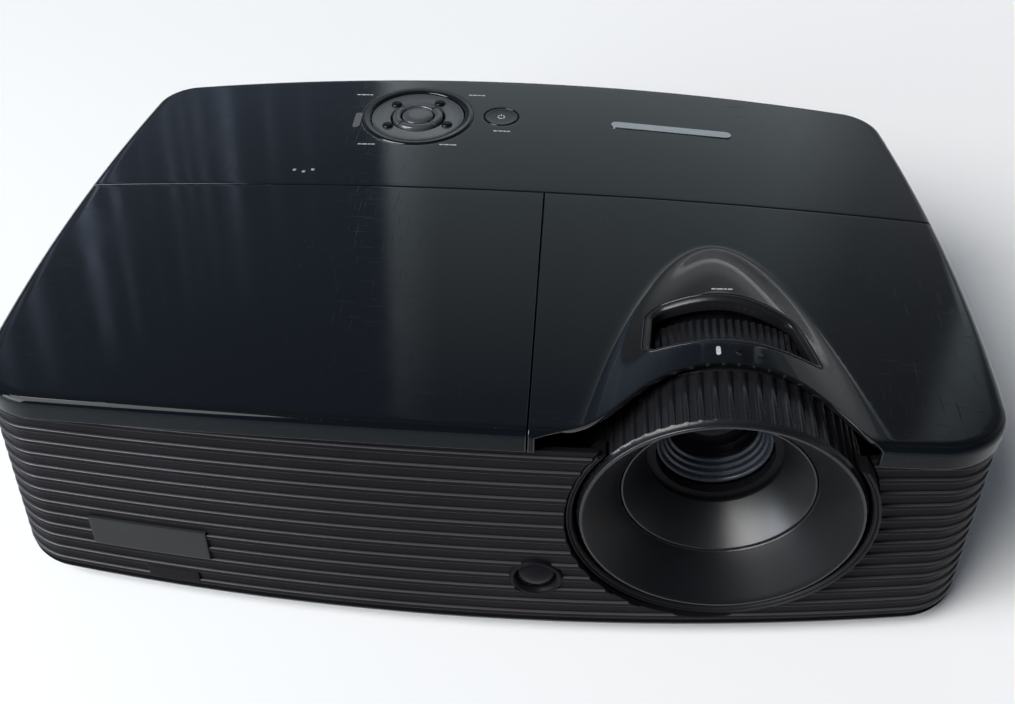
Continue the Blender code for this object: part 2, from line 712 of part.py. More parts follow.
def make_rear(base):
    """A recessed connector panel in the back wall, its sockets, and the mains inlet."""
    cut(base, box("rear_window", (-98, 60, 40), (66, 200, 66)))
    panel = block("rear_panel", wall_sections(0.8, 34, 72), SATIN)
    cut(panel, block("rear_panel_inside", wall_sections(0.8 + 1.6, 32, 74)))
    keep(panel, box("rear_frame", (-98 + GAP, 60, 40 + GAP), (66 - GAP, 200, 66 - GAP)))

    box("main_board", (-94, 50, 43.0), (60, 90, 44.6), BOARD)
    sockets = (
        ("vga_socket", -84, -52, 46.0, 58.0, SOCKET_BLUE, 2.4),
        ("hdmi_socket", -40, -24, 46.0, 52.5, STEEL, 1.0),
        ("usb_socket", -12, 1, 46.0, 57.5, STEEL, 1.2),
    )
    for name, x0, x1, z0, z1, look, rim in sockets:
        middle = (x0 + x1) / 2
        face = HALF_DEPTH * (1 - BACK_BOW * (middle / HALF_WIDTH) ** 2) - 0.4
        body = box(name, (x0, 84, z0), (x1, face, z1), look)
        cut(body, box(name + "_mouth", (x0 + rim, face - 10, z0 + rim), (x1 - rim, face + 5, z1 - rim)))
        tongue = box(name + "_tongue", (x0 + 3.4, face - 12, (z0 + z1) / 2 - 0.8),
                     (x1 - 3.4, face - 2, (z0 + z1) / 2 + 0.8))
        join(body, tongue)
        cut(panel, box(name + "_hole", (x0 - GAP, 60, z0 - GAP), (x1 + GAP, 140, z1 + GAP)))

    low = (94, 82.0, 14)
    high = (123, 96.4, 38)
    cut(base, box("inlet_hole", (low[0] - GAP, 70, low[2] - GAP), (high[0] + GAP, 140, high[2] + GAP)))
    inlet = box("power_inlet", low, high, DARK)
    cut(inlet, box("inlet_mouth", (96.5, 84.5, 17), (120.5, 140, 35)))
    pins = [box(f"inlet_pin_{i}", (107.5 + 7 * (i - 1), 84, 24 + 4 * (i == 1)),
                (109.5 + 7 * (i - 1), 91.5, 28 + 4 * (i == 1))) for i in range(3)]
    join(inlet, *pins)


def make_electronics():
    supply = box("power_supply_board", (-92, 40, 12), (84, 85, 13.6), BOARD)
    blocks = (
        ("coil_0", (-70, 52), (-46, 76), 34),
        ("coil_1", (-20, 50), (10, 78), 38),
        ("capacitor_0", (30, 56), (46, 72), 36),
        ("capacitor_1", (56, 56), (72, 72), 36),
    )
    for name, (x0, y0), (x1, y1), top in blocks:
        join(supply, box(name, (x0, y0, 13), (x1, y1, top)))
    rod("speaker", 18, -6, 6, (132, 34, 34), SIDE, DARK)


def fan_blades(name, count, inner, outer, low, high, at, turn, pitch):
    """Blades as flat boxes, each tilted by pitch, to be joined to a hub."""
    form = bmesh.new()
    for i in range(count):
        round_hub = Matrix.Rotation(2 * pi * i / count, 4, "Z")
        place = Matrix.Translation(((inner + outer) / 2, 0, (low + high) / 2))
        tilt = Matrix.Rotation(pitch, 4, "X")
        size = Matrix.Diagonal((outer - inner, 1.2, high - low, 1))
        bmesh.ops.create_cube(form, size=1.0, matrix=round_hub @ place @ tilt @ size)
    return shell_up(name, mesh_of(name, form), at, turn)


def make_fans():
    at = (-138.0, -3.0, 42.0)
    frame = box("exhaust_fan_frame", (-145, -33, 12), (-131, 27, 72), DARK)
    cut(frame, rod("fan_bore", 28.5, -20, 20, at, SIDE))
    hub = rod("fan_stator", 11, -6.8, -4.6, at, SIDE)
    arms = [box(f"fan_arm_{i}", (-144.8, *low), (-142.6, *high)) for i, (low, high) in enumerate(
        (((-33.0 + 1, 40.5), (26.0, 43.5)), ((-4.5, 13.0), (-1.5, 71.0))))]
    join(hub, *arms)
    join(frame, hub)
    rotor = rod("exhaust_fan_rotor", 12, -4.2, 6.2, at, SIDE, DARK, steps=24)
    join(rotor, fan_blades("fan_blades", 7, 11, 27, -3.0, 5.4, at, SIDE, radians(35)))

    at = (-62.0, -84.5, 40.0)
    case = rod("blower_housing", 26, -8, 8, at, FRONT, DARK)
    join(case, box("blower_spout", (-62, -92.5, 48), (-36, -76.5, 66)))
    cut(case, rod("blower_room", 24.4, -6.4, 6.4, at, FRONT))
    cut(case, box("blower_throat", (-58, -90.9, 49.6), (-30, -78.1, 64.4)))
    cut(case, rod("blower_inlet", 15, -20, 0, at, FRONT))
    rotor = rod("blower_rotor", 21, 3.6, 5.2, at, FRONT, DARK, steps=24)
    join(rotor, rod("blower_hub", 6, -4.5, 4.4, at, FRONT, steps=16))
    join(rotor, fan_blades("blower_blades", 11, 16, 20.5, -5.4, 4.4, at, FRONT, 0.0))


def make_feet(base):
    for place, (x, y) in FOOT_PLACES.items():
        cut(base, rod(place + "_foot_hole", STEM_R + GAP, -10, 20, (x, y, 0), steps=20))
        knob = [(FOOT_R, FOOT_HEIGHT), (FOOT_R, 0.6), (FOOT_R - 1, 0), (0, 0), (0, 1.0)]
        knob += [(STEM_R + GAP, 1.0), (STEM_R + GAP, FOOT_HEIGHT)]
        turned(place + "_foot_knob", knob, (x, y, 0), look=RUBBER, steps=20)
        rod(place + "_foot_stem", STEM_R, 1.4, STEM_TOP, (x, y, 0), look=STEEL, steps=16)


# ---------------------------------------------------------------- build

clear_scene()
parts = collection(PARTS)
cutters = collection(CUTTERS)
base_shell, front_panel = make_base_and_front()
make_side_grilles(base_shell)
rear_top_panel, lamp_cover, lens_side_cover = make_top_covers()
make_lamp_cover_screw()
make_lens()
make_optics()
make_keypad(rear_top_panel)
make_lights(rear_top_panel)
make_front_details()
make_rear(base_shell)
make_electronics()
make_fans()
make_feet(base_shell)
for part in parts.objects:
    if part.type == "MESH":
        part.data.shade_smooth()
        part.data.set_sharp_from_angle(angle=radians(35))
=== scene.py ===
"""Looks of the portable data projector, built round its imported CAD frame.

Lengths are in millimetres until a mesh is made. The lens and the ribbed front face -Y.
"""

import json
from math import atan, cos, hypot, pi, radians, sin, sqrt

import bmesh
import bpy
import numpy as np
from mathutils import Euler, Matrix, Vector


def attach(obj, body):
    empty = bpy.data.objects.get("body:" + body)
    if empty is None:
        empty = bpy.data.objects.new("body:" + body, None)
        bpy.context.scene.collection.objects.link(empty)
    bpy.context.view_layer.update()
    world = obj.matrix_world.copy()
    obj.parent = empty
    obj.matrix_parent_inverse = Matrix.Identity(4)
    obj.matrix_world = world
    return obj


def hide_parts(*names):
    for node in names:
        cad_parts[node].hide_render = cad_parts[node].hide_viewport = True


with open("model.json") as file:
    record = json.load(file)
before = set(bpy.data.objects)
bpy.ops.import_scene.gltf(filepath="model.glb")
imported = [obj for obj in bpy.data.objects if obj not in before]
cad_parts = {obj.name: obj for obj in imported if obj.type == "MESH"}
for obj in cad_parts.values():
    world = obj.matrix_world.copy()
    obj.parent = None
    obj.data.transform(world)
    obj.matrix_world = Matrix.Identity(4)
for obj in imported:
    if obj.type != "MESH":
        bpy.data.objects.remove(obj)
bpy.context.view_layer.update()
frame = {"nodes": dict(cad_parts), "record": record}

MM = 0.001

# ---- sizes, as in the CAD

HALF_WIDTH = 154.3
HALF_DEPTH = 102.9
TOP_CORNER = 21.2
WALL_CORNER = 14.2
BACK_CORNER = 12.5
SIDE_BOW = 0.038
SIDE_TAPER = 0.043
TOP_BOW = 0.088
WALL_BOW = 0.127
BACK_BOW = 0.081
BODY_BOTTOM = 4.0
RIM = 80.0
TOP = 88.8
CROWN = 6.2
RISE = 0.064
WALL_INSET = 1.2
FLARE = 2.7
FLOOR = 2.5
EDGE_ROUND = 3.0
BELLY_ROUND = 6.0
WALL = 2.2
GAP = 0.3
SEAM_Y = 20.7
SEAM_X = 14.2
FRONT_SPLIT_Y = -76.0

LENS_X = 73.2
LENS_Z = 58.5
RING_R = 43.4
RING_FRONT = 101.5
BEZEL_R = 46.7
COLLAR_R = 46.2

# The hump behind the lens: where it starts and ends, and how steep and how soft it is.
HUMP_BACK = -6.0
HUMP_FRONT = -100.0
HUMP_HALF_WIDTH = 47.0
HUMP_RAMP = 0.75
HUMP_SHARPNESS = 1.4
HUMP_SOFTNESS = 1.3

PAD = (-37.1, 71.4)
PAD_R = 21.9
PLATE_R = 18.1
ARROW_OUTER_R = 9.8
ARROW_INNER_R = 6.7
ENTER_R = 6.1
SMALL_KEY_R = 2.1
SMALL_KEY_CIRCLE_R = 13.1
SMALL_KEYS = {"menu_key": 136, "source_key": 55, "resync_key": 214, "help_key": 335}
ARROW_KEYS = {"right_key": 0, "up_key": 90, "left_key": 180, "down_key": 270}
POWER = (-4.6, 72.8)
POWER_R = 6.55

IR_X = 18.55
IR_Z = 29.2
IR_R = 8.3
BADGE_X = -107.5
BADGE_Z = 30.6
BADGE_WIDTH = 39.4
BADGE_HEIGHT = 11.4
BADGE_DROP = 1.6

FOOT_PLACES = {"front_left": (-118.0, -72.0), "front_right": (118.0, -72.0), "rear": (0.0, 90.0)}
FOOT_R = 9.0
FOOT_HEIGHT = 3.6
STEM_R = 3.0
LAMP_SCREW = (-151.1, -30.0, 4.2)
LAMP_SCREW_R = 2.4

UP = Euler((0, 0, 0)).to_matrix()
FRONT = Euler((radians(90), 0, 0)).to_matrix()
SIDE = Euler((0, radians(90), 0)).to_matrix()

# Plan, front and side views of a point: the two coordinates that each shows.
PLAN_VIEW = (0, 1)
FRONT_VIEW = (0, 2)
SIDE_VIEW = (1, 2)


# ---- materials


class Nodes:
    """A writer of shader nodes: each call adds one node and returns its output."""

    def __init__(self, owner):
        owner.use_nodes = True
        self.tree = owner.node_tree

    def link(self, value, socket):
        if hasattr(value, "links"):
            self.tree.links.new(value, socket)
        elif socket.type == "RGBA":
            socket.default_value = (*value, 1)
        else:
            socket.default_value = value

    def node(self, kind, output, inputs, **settings):
        node = self.tree.nodes.new("ShaderNode" + kind)
        for name, value in settings.items():
            setattr(node, name, value)
        for name, value in inputs.items():
            self.link(value, node.inputs[name])
        return node.outputs[output]

    def math(self, a, b, operation="ADD"):
        return self.node("Math", 0, {0: a, 1: b}, operation=operation)

    def times(self, a, b):
        return self.math(a, b, "MULTIPLY")

    def mix(self, share, low, high, kind="MIX"):
        inputs = {"Factor": share, "A": low, "B": high}
        return self.node("Mix", "Result", inputs, data_type="RGBA", blend_type=kind)

    def ramp(self, value, *stops):
        """A colour ramp through (place, colour) stops; a single number is a grey."""
        output = self.node("ValToRGB", "Color", {"Fac": value})
        band = output.node.color_ramp
        while len(band.elements) < len(stops):
            band.elements.new(1.0)
        for element, (place, colour) in zip(band.elements, stops):
            element.position = place
            element.color = (*colour, 1) if isinstance(colour, tuple) else (*[colour] * 3, 1)
        return output


LOOKS = {}


class Look(Nodes):
    """A material in the making. It goes into LOOKS under its name."""

    def __init__(self, name):
        self.material = bpy.data.materials.new(name)
        super().__init__(self.material)
        LOOKS[name] = self.material
        self.shader = self.tree.nodes["Principled BSDF"]
        self.place = self.tree.nodes.new("ShaderNodeTexCoord").outputs["Object"]

    def stretched(self, scale, turn=(0, 0, 0)):
        inputs = {"Vector": self.place, "Scale": scale, "Rotation": turn}
        return self.node("Mapping", "Vector", inputs)

    def noise(self, scale, detail=2.0, place=None):
        inputs = {"Vector": place or self.place, "Scale": scale, "Detail": detail}
        return self.node("TexNoise", "Fac", inputs)

    def cells(self, scale):
        return self.node("TexVoronoi", "Distance", {"Vector": self.place, "Scale": scale})

    def spread(self, value, from_low, from_high, to_low=0, to_high=1):
        inputs = {0: value, 1: from_low, 2: from_high, 3: to_low, 4: to_high}
        return self.node("MapRange", "Result", inputs)

    def set(self, **values):
        for name, value in values.items():
            self.link(value, self.shader.inputs[name.replace("_", " ")])

    def bump(self, height, strength, distance):
        inputs = {"Height": height, "Strength": strength, "Distance": distance}
        self.set(Normal=self.node("Bump", "Normal", inputs))


def scaled(colour, factor):
    return tuple(min(1.0, c * factor) for c in colour)


def gloss_plastic(name, colour, dust_colour, index=1.52):
    """Piano-black plastic: hairline scratches, wiped smears and specks of dust."""
    look = Look(name)
    across = look.noise(1.0, 1.0, look.stretched((90, 2600, 300), (0, 0, 0.5)))
    along = look.noise(1.0, 1.0, look.stretched((2400, 70, 300), (0, 0, -0.35)))
    scratch = look.math(look.spread(across, 0.70, 0.78), look.spread(along, 0.71, 0.79), "MAXIMUM")
    speck = look.spread(look.cells(420.0), 0.0, 0.085, 1, 0)
    dust = look.times(speck, look.spread(look.noise(30.0), 0.5, 0.68))
    smear = look.spread(look.noise(26.0, 3.0), 0.35, 0.75, 0.045, 0.11)
    rough = look.math(look.math(smear, look.times(scratch, 0.20)), look.times(dust, 0.5))
    colours = look.mix(look.times(dust, 0.55), colour, dust_colour)
    look.set(Base_Color=colours, Roughness=rough, IOR=index)
    look.bump(look.math(look.times(scratch, -1.2), look.noise(60.0, 1.0)), 0.05, 0.0002)
    return look.material


def moulded_plastic(name, colour, rough, grain=2600.0, depth=0.25, worn=1.5, shine=0.2):
    """Satin or matte moulded plastic: spark-eroded grain, faint colour drift, rubbed patches."""
    look = Look(name)
    drift = look.noise(22.0, 3.0)
    fine = look.noise(grain, 3.0)
    rubbed = look.spread(drift, 0.3, 0.75, rough + 0.05, rough - 0.06)
    look.set(Base_Color=look.mix(look.spread(drift, 0.35, 0.75), colour, scaled(colour, worn)),
             Roughness=look.math(rubbed, look.spread(fine, 0.3, 0.7, -0.03, 0.03)),
             Specular_IOR_Level=shine)
    look.bump(fine, depth, 0.00006)
    return look.material


def metal(name, colour, rough):
    """Rolled or turned metal with fine streaks."""
    look = Look(name)
    streak = look.noise(1.0, 2.0, look.stretched((120, 3000, 3000)))
    look.set(Base_Color=look.mix(streak, scaled(colour, 0.8), colour), Metallic=1.0,
             Roughness=look.spread(streak, 0.2, 0.8, rough - 0.08, rough + 0.08))
    look.bump(streak, 0.1, 0.00004)
    return look.material


def coated_glass(name, colour, rough=0.03, shine=0.12):
    """Dark coated glass; a trace of dust keeps it from being a perfect mirror."""
    look = Look(name)
    haze = look.noise(60.0, 3.0)
    speck = look.spread(look.cells(500.0), 0.0, 0.07, 0.25, 0)
    look.set(Base_Color=look.mix(look.spread(haze, 0.4, 0.8), colour, scaled(colour, 1.8)),
             Roughness=look.math(look.spread(haze, 0.3, 0.8, rough, rough + 0.04), speck),
             Specular_IOR_Level=shine, Specular_Tint=(0.75, 0.7, 1.0))
    return look.material


def printed(name, colour):
    """Pad-printed ink, a little uneven and worn."""
    look = Look(name)
    wear = look.noise(900.0, 3.0)
    look.set(Base_Color=look.mix(look.spread(wear, 0.35, 0.7), colour, scaled(colour, 0.55)),
             Roughness=look.spread(wear, 0.3, 0.7, 0.35, 0.6))
    look.bump(wear, 0.1, 0.00003)
    return look.material


def circuit_board(name):
    """Green solder mask over a pattern of tracks."""
    look = Look(name)
    tracks = look.node("TexBrick", "Color", {
        "Vector": look.place, "Scale": 160.0, "Color1": (0.02, 0.12, 0.05),
        "Color2": (0.03, 0.17, 0.07), "Mortar": (0.06, 0.25, 0.10),
    })
    look.set(Base_Color=tracks, Roughness=look.spread(look.noise(300.0), 0.3, 0.7, 0.35, 0.55))
    look.bump(tracks.node.outputs["Fac"], 0.3, 0.0001)
    return look.material


GLOSS = gloss_plastic("gloss_black", (0.0042, 0.0048, 0.0056), (0.16, 0.17, 0.18))
# A darker, bluer, less reflective copy of the gloss for the skirt and the lower rolled edge: painted
# shade, since the real cover is one gloss.
GLOSS_SHADED_SKIRT = gloss_plastic("gloss_black_shaded_skirt", (0.0030, 0.0048, 0.0068), (0.10, 0.11, 0.12), 1.22)
SATIN = moulded_plastic("satin_black", (0.0052, 0.0049, 0.0060), 0.34, shine=0.05)
GROOVE = moulded_plastic("groove_black", (0.0060, 0.0055, 0.0070), 0.45, shine=0.07)
# Brighter plastic on the rounded rib edges: a painted highlight, where the edges catch the light.
RIB_EDGE_HIGHLIGHT = moulded_plastic("rib_edge_painted_highlight", (0.036, 0.035, 0.038), 0.35, worn=1.3, shine=0.35)
HOOD = moulded_plastic("hood_black", (0.0034, 0.0037, 0.0044), 0.37, 3200.0, 0.3, shine=0.6)
CONE = moulded_plastic("cone_black", (0.0030, 0.0032, 0.0040), 0.42, 3200.0, 0.3, shine=0.16)
RING = moulded_plastic("ring_black", (0.0085, 0.0085, 0.0098), 0.28, shine=0.4)
DARK = moulded_plastic("dark_plastic", (0.005, 0.005, 0.006), 0.5, shine=0.15)
PLATE_GREY = moulded_plastic("plate_grey", (0.022, 0.0235, 0.0245), 0.4, worn=1.2, shine=0.1)
KEY = moulded_plastic("key_plastic", (0.050, 0.053, 0.056), 0.2, depth=0.1, worn=1.2, shine=0.8)
KEY_DARK = moulded_plastic("small_key_plastic", (0.004, 0.004, 0.005), 0.28, depth=0.1)
BARREL = moulded_plastic("barrel_grey", (0.026, 0.033, 0.044), 0.28, depth=0.15, shine=0.5)
TAB = moulded_plastic("infrared_tab", (0.10, 0.106, 0.112), 0.3, depth=0.1, worn=1.2)
RUBBER = moulded_plastic("rubber", (0.018, 0.018, 0.018), 0.8, 1200.0, 0.5)
LIGHT_LENS = moulded_plastic("light_lens", (0.30, 0.32, 0.34), 0.25, depth=0.05, worn=1.1)
GLASS = coated_glass("lens_glass", (0.0025, 0.002, 0.0035))
SMOKED = coated_glass("smoked_window", (0.005, 0.005, 0.0055), 0.08, 0.08)
SILVER = metal("silver_trim", (0.72, 0.73, 0.74), 0.3)
WHITE_INK = printed("white_ink", (0.62, 0.64, 0.66))

# These are only on CAD nodes, through the name of their slot.
moulded_plastic("heatproof", (0.33, 0.31, 0.28), 0.7, 900.0, 0.4)
moulded_plastic("socket_blue", (0.025, 0.045, 0.20), 0.4, worn=1.2)
metal("steel", (0.55, 0.56, 0.57), 0.32)
metal("aluminium", (0.62, 0.63, 0.64), 0.4)
circuit_board("circuit_board")


def finish_cad_nodes():
    """Every carried-over CAD node gets the look that is named like its slot."""
    for part in frame["record"]["subparts"]:
        node = frame["nodes"][part["node"]]
        for place in node.material_slots:
            place.link = "OBJECT"
            place.material = LOOKS[part["material_slot"]]


# ---- making pieces


def placed(name, data):
    """A new object in the scene."""
    thing = bpy.data.objects.new(name, data)
    bpy.context.scene.collection.objects.link(thing)
    return thing


def thing_of(name, form, flat=None):
    """An object from a bmesh in millimetres; edges over the flat angle stay sharp."""
    bmesh.ops.scale(form, vec=(MM, MM, MM), verts=form.verts)
    bmesh.ops.recalc_face_normals(form, faces=form.faces)
    mesh = bpy.data.meshes.new(name)
    form.to_mesh(mesh)
    form.free()
    if flat is not None:
        mesh.shade_smooth()
        mesh.set_sharp_from_angle(angle=radians(flat))
    return placed(name, mesh)


def drill(thing, holes):
    """Bores round holes into a piece, each through a point along a turned Z axis."""
    bits = []
    for at, turn, radius, reach in holes:
        form = bmesh.new()
        bmesh.ops.create_cone(form, cap_ends=True, segments=40, radius1=radius, radius2=radius,
                              depth=2 * reach, matrix=Matrix.LocRotScale(at, turn, None))
        bits.append(thing_of("drill_bit", form))
        step = thing.modifiers.new("hole", "BOOLEAN")
        step.solver = "EXACT"
        step.object = bits[-1]
    whole = thing.evaluated_get(bpy.context.evaluated_depsgraph_get())
    mesh = bpy.data.meshes.new_from_object(whole)
    thing.modifiers.clear()
    thing.data = mesh
    for bit in bits:
        bpy.data.objects.remove(bit, do_unlink=True)


def piece(name, form, look, node="", body="case", flat=180, even=False, more=(), holes=()):
    """A finished piece, riding on its body and standing for a CAD node. Even keeps large faces
    from being shaded by the small ones at their rims; more holds the looks of the faces whose
    material index isn't 0."""
    thing = thing_of(name, form, flat)
    for one in (look, *more):
        thing.data.materials.append(one)
    if holes:
        drill(thing, holes)
    if even:
        thing.modifiers.new("even_shading", "WEIGHTED_NORMAL").keep_sharp = True
    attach(thing, body)
    if node:
        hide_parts(node)


def grid(form, rows, closed=False, loop=False, inside=None):
    """Faces between rows of points; closed joins each row's ends, loop the last row to the first.
    With an inside layer, a row holds (outside, inside) pairs, and the layer keeps the second."""
    made = []
    for row in rows:
        outside = [pair[0] for pair in row] if inside else row
        made.append([form.verts.new(point) for point in outside])
        if inside:
            for v, (_, inner) in zip(made[-1], row):
                v[inside] = inner
    pairs = list(zip(made, made[1:]))
    if loop:
        pairs.append((made[-1], made[0]))
    for low, high in pairs:
        for i in range(len(low) if closed else len(low) - 1):
            j = (i + 1) % len(low)
            form.faces.new((low[i], low[j], high[j], high[i]))
    return made


def softened(profile, radius, steps=3):
    """A closed profile with its corners rounded."""
    points = []
    for i, corner in enumerate(profile):
        here = Vector(corner)
        before = Vector(profile[i - 1]) - here
        after = Vector(profile[(i + 1) % len(profile)]) - here
        reach = min(radius, before.length * 0.45, after.length * 0.45)
        if corner[0] <= 0 or reach < 0.01:
            points.append(tuple(here))
            continue
        start = here + before.normalized() * reach
        end = here + after.normalized() * reach
        for k in range(steps + 1):
            t = k / steps
            points.append(tuple(start * (1 - t) ** 2 + here * 2 * t * (1 - t) + end * t * t))
    return points


def lathe(form, profile, at, turn, steps=96, ripple=None):
    """Turns a closed profile of (radius, height) round local Z; one vertex stands for a row on
    the axis. ripple(radius, height, angle) may change the radius."""
    made = []
    for radius, height in profile:
        row = []
        for k in range(steps if radius > 0 else 1):
            angle = 2 * pi * k / steps
            r = ripple(radius, height, angle) if ripple else radius
            point = Vector((r * cos(angle), r * sin(angle), height))
            row.append(form.verts.new(turn @ point + Vector(at)))
        made.append(row)
    for low, high in zip(made, made[1:] + made[:1]):
        for i in range(steps if len(low) + len(high) > 2 else 0):
            j = (i + 1) % steps
            if len(low) == 1:
                form.faces.new((low[0], high[j], high[i]))
            elif len(high) == 1:
                form.faces.new((low[i], low[j], high[0]))
            else:
                form.faces.new((low[i], low[j], high[j], high[i]))


def turned(name, profile, at, turn, look, node="", body="case", edge=0.3, steps=96,
           ripple=None, flat=40):
    form = bmesh.new()
    lathe(form, softened(profile, edge), at, turn, steps, ripple)
    piece(name, form, look, node, body, flat)


# ---- the casing's surfaces


def swell(x, y):
    return -CROWN * (x / HALF_WIDTH) ** 2 - RISE * y


def hump(x, y):
    """Height of the hump over the crowned top; takes numbers or arrays."""
    x = np.asarray(x, float)
    y = np.asarray(y, float)
    along = np.clip((HUMP_BACK - y) / (HUMP_BACK - HUMP_FRONT), 1e-6, 1)
    across = (x - LENS_X) / (HUMP_HALF_WIDTH * np.sqrt(along))
    rise = 1 - (1 - np.minimum(1.0, along / HUMP_RAMP)) ** 2
    crest = LENS_Z + COLLAR_R - TOP - swell(LENS_X, y)
    share = rise * np.clip(1 - across**2, 0, 1) ** HUMP_SHARPNESS
    height = crest * share
    height = height**2 / (height + HUMP_SOFTNESS * (1 - share) + 1e-9)
    return np.where(y < HUMP_BACK, height, 0.0)


def top_height(x, y, over=0.0):
    return TOP + swell(x, y) + float(hump(x, y)) + over


def warped(x, y, inset, front_bow):
    """Plan place of a point of the straight-sided casing once its sides are curved."""
    a = HALF_WIDTH - inset
    b = HALF_DEPTH - inset
    bow = front_bow if y < 0 else BACK_BOW
    return (
        x * (1 - SIDE_BOW * (y / b) ** 2) * (1 - SIDE_TAPER * y / b),
        y * (1 - bow * (x / a) ** 2),
    )


def lines(*runs):
    """Grid lines: a start, then (end, step) runs."""
    places = [runs[0]]
    for end, step in runs[1:]:
        start = places[-1]
        count = max(1, round(abs(end - start) / step))
        places += [start + (end - start) * k / count for k in range(1, count + 1)]
    return places


def corner_place(gx, gy, inset):
    """Where a line crossing of the top's grid lies at a given inset: the square corners of the
    grid are squeezed into round ones."""
    radius = TOP_CORNER if gy < 0 else BACK_CORNER
    full = radius - EDGE_ROUND
    cx = HALF_WIDTH - radius
    cy = HALF_DEPTH - radius
    u = max(0.0, (abs(gx) - cx) / full)
    v = max(0.0, (abs(gy) - cy) / full)
    side_x = 1 if gx > 0 else -1
    side_y = 1 if gy > 0 else -1
    r = radius - inset
    if u > 0 and v > 0:
        angle = pi / 4 * v / u if u >= v else pi / 2 - pi / 4 * u / v
        out = r * max(u, v)
        return side_x * (cx + out * cos(angle)), side_y * (cy + out * sin(angle))
    x = side_x * (cx + r * u) if u > 0 else gx
    y = side_y * (cy + r * v) if v > 0 else gy
    return x, y


SKIRT_DROPS = (-4.8, -6.6, 0.4 - (TOP - RIM - GAP))


def top_sheet():
    """The whole top with its rolled edge and skirt as an open sheet. Each vertex has its plan
    place, and how far it lies below the crown as its height."""
    edge_x = HALF_WIDTH - EDGE_ROUND
    edge_y = HALF_DEPTH - EDGE_ROUND
    back = HALF_WIDTH - BACK_CORNER
    front = HALF_WIDTH - TOP_CORNER
    xs = lines(-edge_x, (-back, 2.4), (-front, 3), (-64, 5), (4, 1.5), (20, 4), (124, 1.3),
               (front, 3), (back, 3), (edge_x, 2.4))
    back = HALF_DEPTH - BACK_CORNER
    front = HALF_DEPTH - TOP_CORNER
    ys = lines(-edge_y, (-front, 1.3), (-4, 1.3), (48, 4), (back, 1.5), (edge_y, 1.6))
    form = bmesh.new()
    made = grid(form, [
        [(*warped(*corner_place(gx, gy, EDGE_ROUND), EDGE_ROUND, TOP_BOW), 0) for gx in xs]
        for gy in ys
    ])
    end_x = len(xs) - 1
    end_y = len(ys) - 1
    rim = [(i, 0) for i in range(end_x)] + [(end_x, j) for j in range(end_y)]
    rim += [(i, end_y) for i in range(end_x, 0, -1)] + [(0, j) for j in range(end_y, 0, -1)]
    sections = [(EDGE_ROUND * (1 - sin(radians(a))), EDGE_ROUND * (cos(radians(a)) - 1))
                for a in range(15, 91, 15)]
    sections += [(0, drop) for drop in SKIRT_DROPS]
    last = [made[j][i] for i, j in rim]
    for inset, drop in sections:
        row = []
        for i, j in rim:
            place = warped(*corner_place(xs[i], ys[j], inset), inset, TOP_BOW)
            row.append(form.verts.new((*place, drop)))
        for a, b, c, d in zip(last, row, row[1:] + row[:1], last[1:] + last[:1]):
            form.faces.new((a, b, c, d))
        last = row
    bmesh.ops.recalc_face_normals(form, faces=form.faces)
    form.faces.ensure_lookup_table()
    if form.faces[0].normal.z < 0:
        bmesh.ops.reverse_faces(form, faces=form.faces)
    return form

def signed(loop):
    """A curve to cut along: distance of view points to a closed loop, positive outside it,
    and the nearest point on it."""
    a = np.array(loop, float)
    b = np.roll(a, -1, 0)
    d = b - a
    length = (d**2).sum(1)

    def measure(points):
        t = np.clip(((points[:, None] - a) * d).sum(2) / length, 0, 1)
        near = a + d * t[..., None]
        gap = np.linalg.norm(points[:, None] - near, axis=2)
        best = gap.argmin(1)
        row = np.arange(len(points))
        crossing = (a[:, 1] > points[:, None, 1]) != (b[:, 1] > points[:, None, 1])
        safe = np.where(np.abs(d[:, 1]) < 1e-12, 1e-12, d[:, 1])
        at_x = a[:, 0] + (points[:, None, 1] - a[:, 1]) * d[:, 0] / safe
        inside = (crossing & (points[:, None, 0] < at_x)).sum(1) % 2 == 1
        return np.where(inside, -1, 1) * gap[row, best], near[row, best]

    return measure


def half_plane(axis, limit, side):
    """A straight cut: keeps what lies past limit on the given side of a plan axis."""

    def measure(points):
        near = points.copy()
        near[:, axis] = limit
        return side * (points[:, axis] - limit), near

    return measure


SNAP = 0.25
NEW_SNAP = 0.3


def anywhere(co):
    return True


def trim(form, measure, view=PLAN_VIEW, snap=SNAP, only=anywhere):
    """Cuts an open sheet along a curve in a view and drops what lies on its negative side. A
    cut in plan moves the vertices that are near the curve onto it."""
    value = {}

    def measured(spots):
        return measure(np.array([(co[view[0]], co[view[1]]) for co in spots]))

    def weigh(verts, reach):
        gaps, near = measured([v.co for v in verts])
        for v, gap, (x, y) in zip(verts, gaps, near):
            value[v] = gap
            if abs(gap) < reach and view == PLAN_VIEW:
                v.co.x, v.co.y = x, y
                value[v] = 0.0

    weigh([v for v in form.verts if only(v.co)], snap)
    new = []
    for edge in list(form.edges):
        a, b = edge.verts
        if a in value and b in value and value[a] * value[b] < 0:
            new.append(bmesh.utils.edge_split(edge, a, value[a] / (value[a] - value[b]))[1])
    if new:
        weigh(new, NEW_SNAP)
    value.update((v, 0.0) for v in new)
    bmesh.ops.connect_verts(form, verts=[v for v, gap in value.items() if gap == 0.0])
    gone = []
    for face in form.faces:
        if all(value.get(v, 1) <= 0 for v in face.verts):
            whole = any(value[v] < 0 for v in face.verts)
            if whole or measured([face.calc_center_median()])[0][0] < 0:
                gone.append(face)
    bmesh.ops.delete(form, geom=gone, context="FACES")
    loose = [v for v in form.verts if not v.link_faces]
    bmesh.ops.delete(form, geom=loose, context="VERTS")


# A rounded edge's points: (way out, way down), as shares of its radius.
ROUNDING = ((0.38, 0.08), (0.71, 0.29), (0.92, 0.62), (1.0, 1.0))


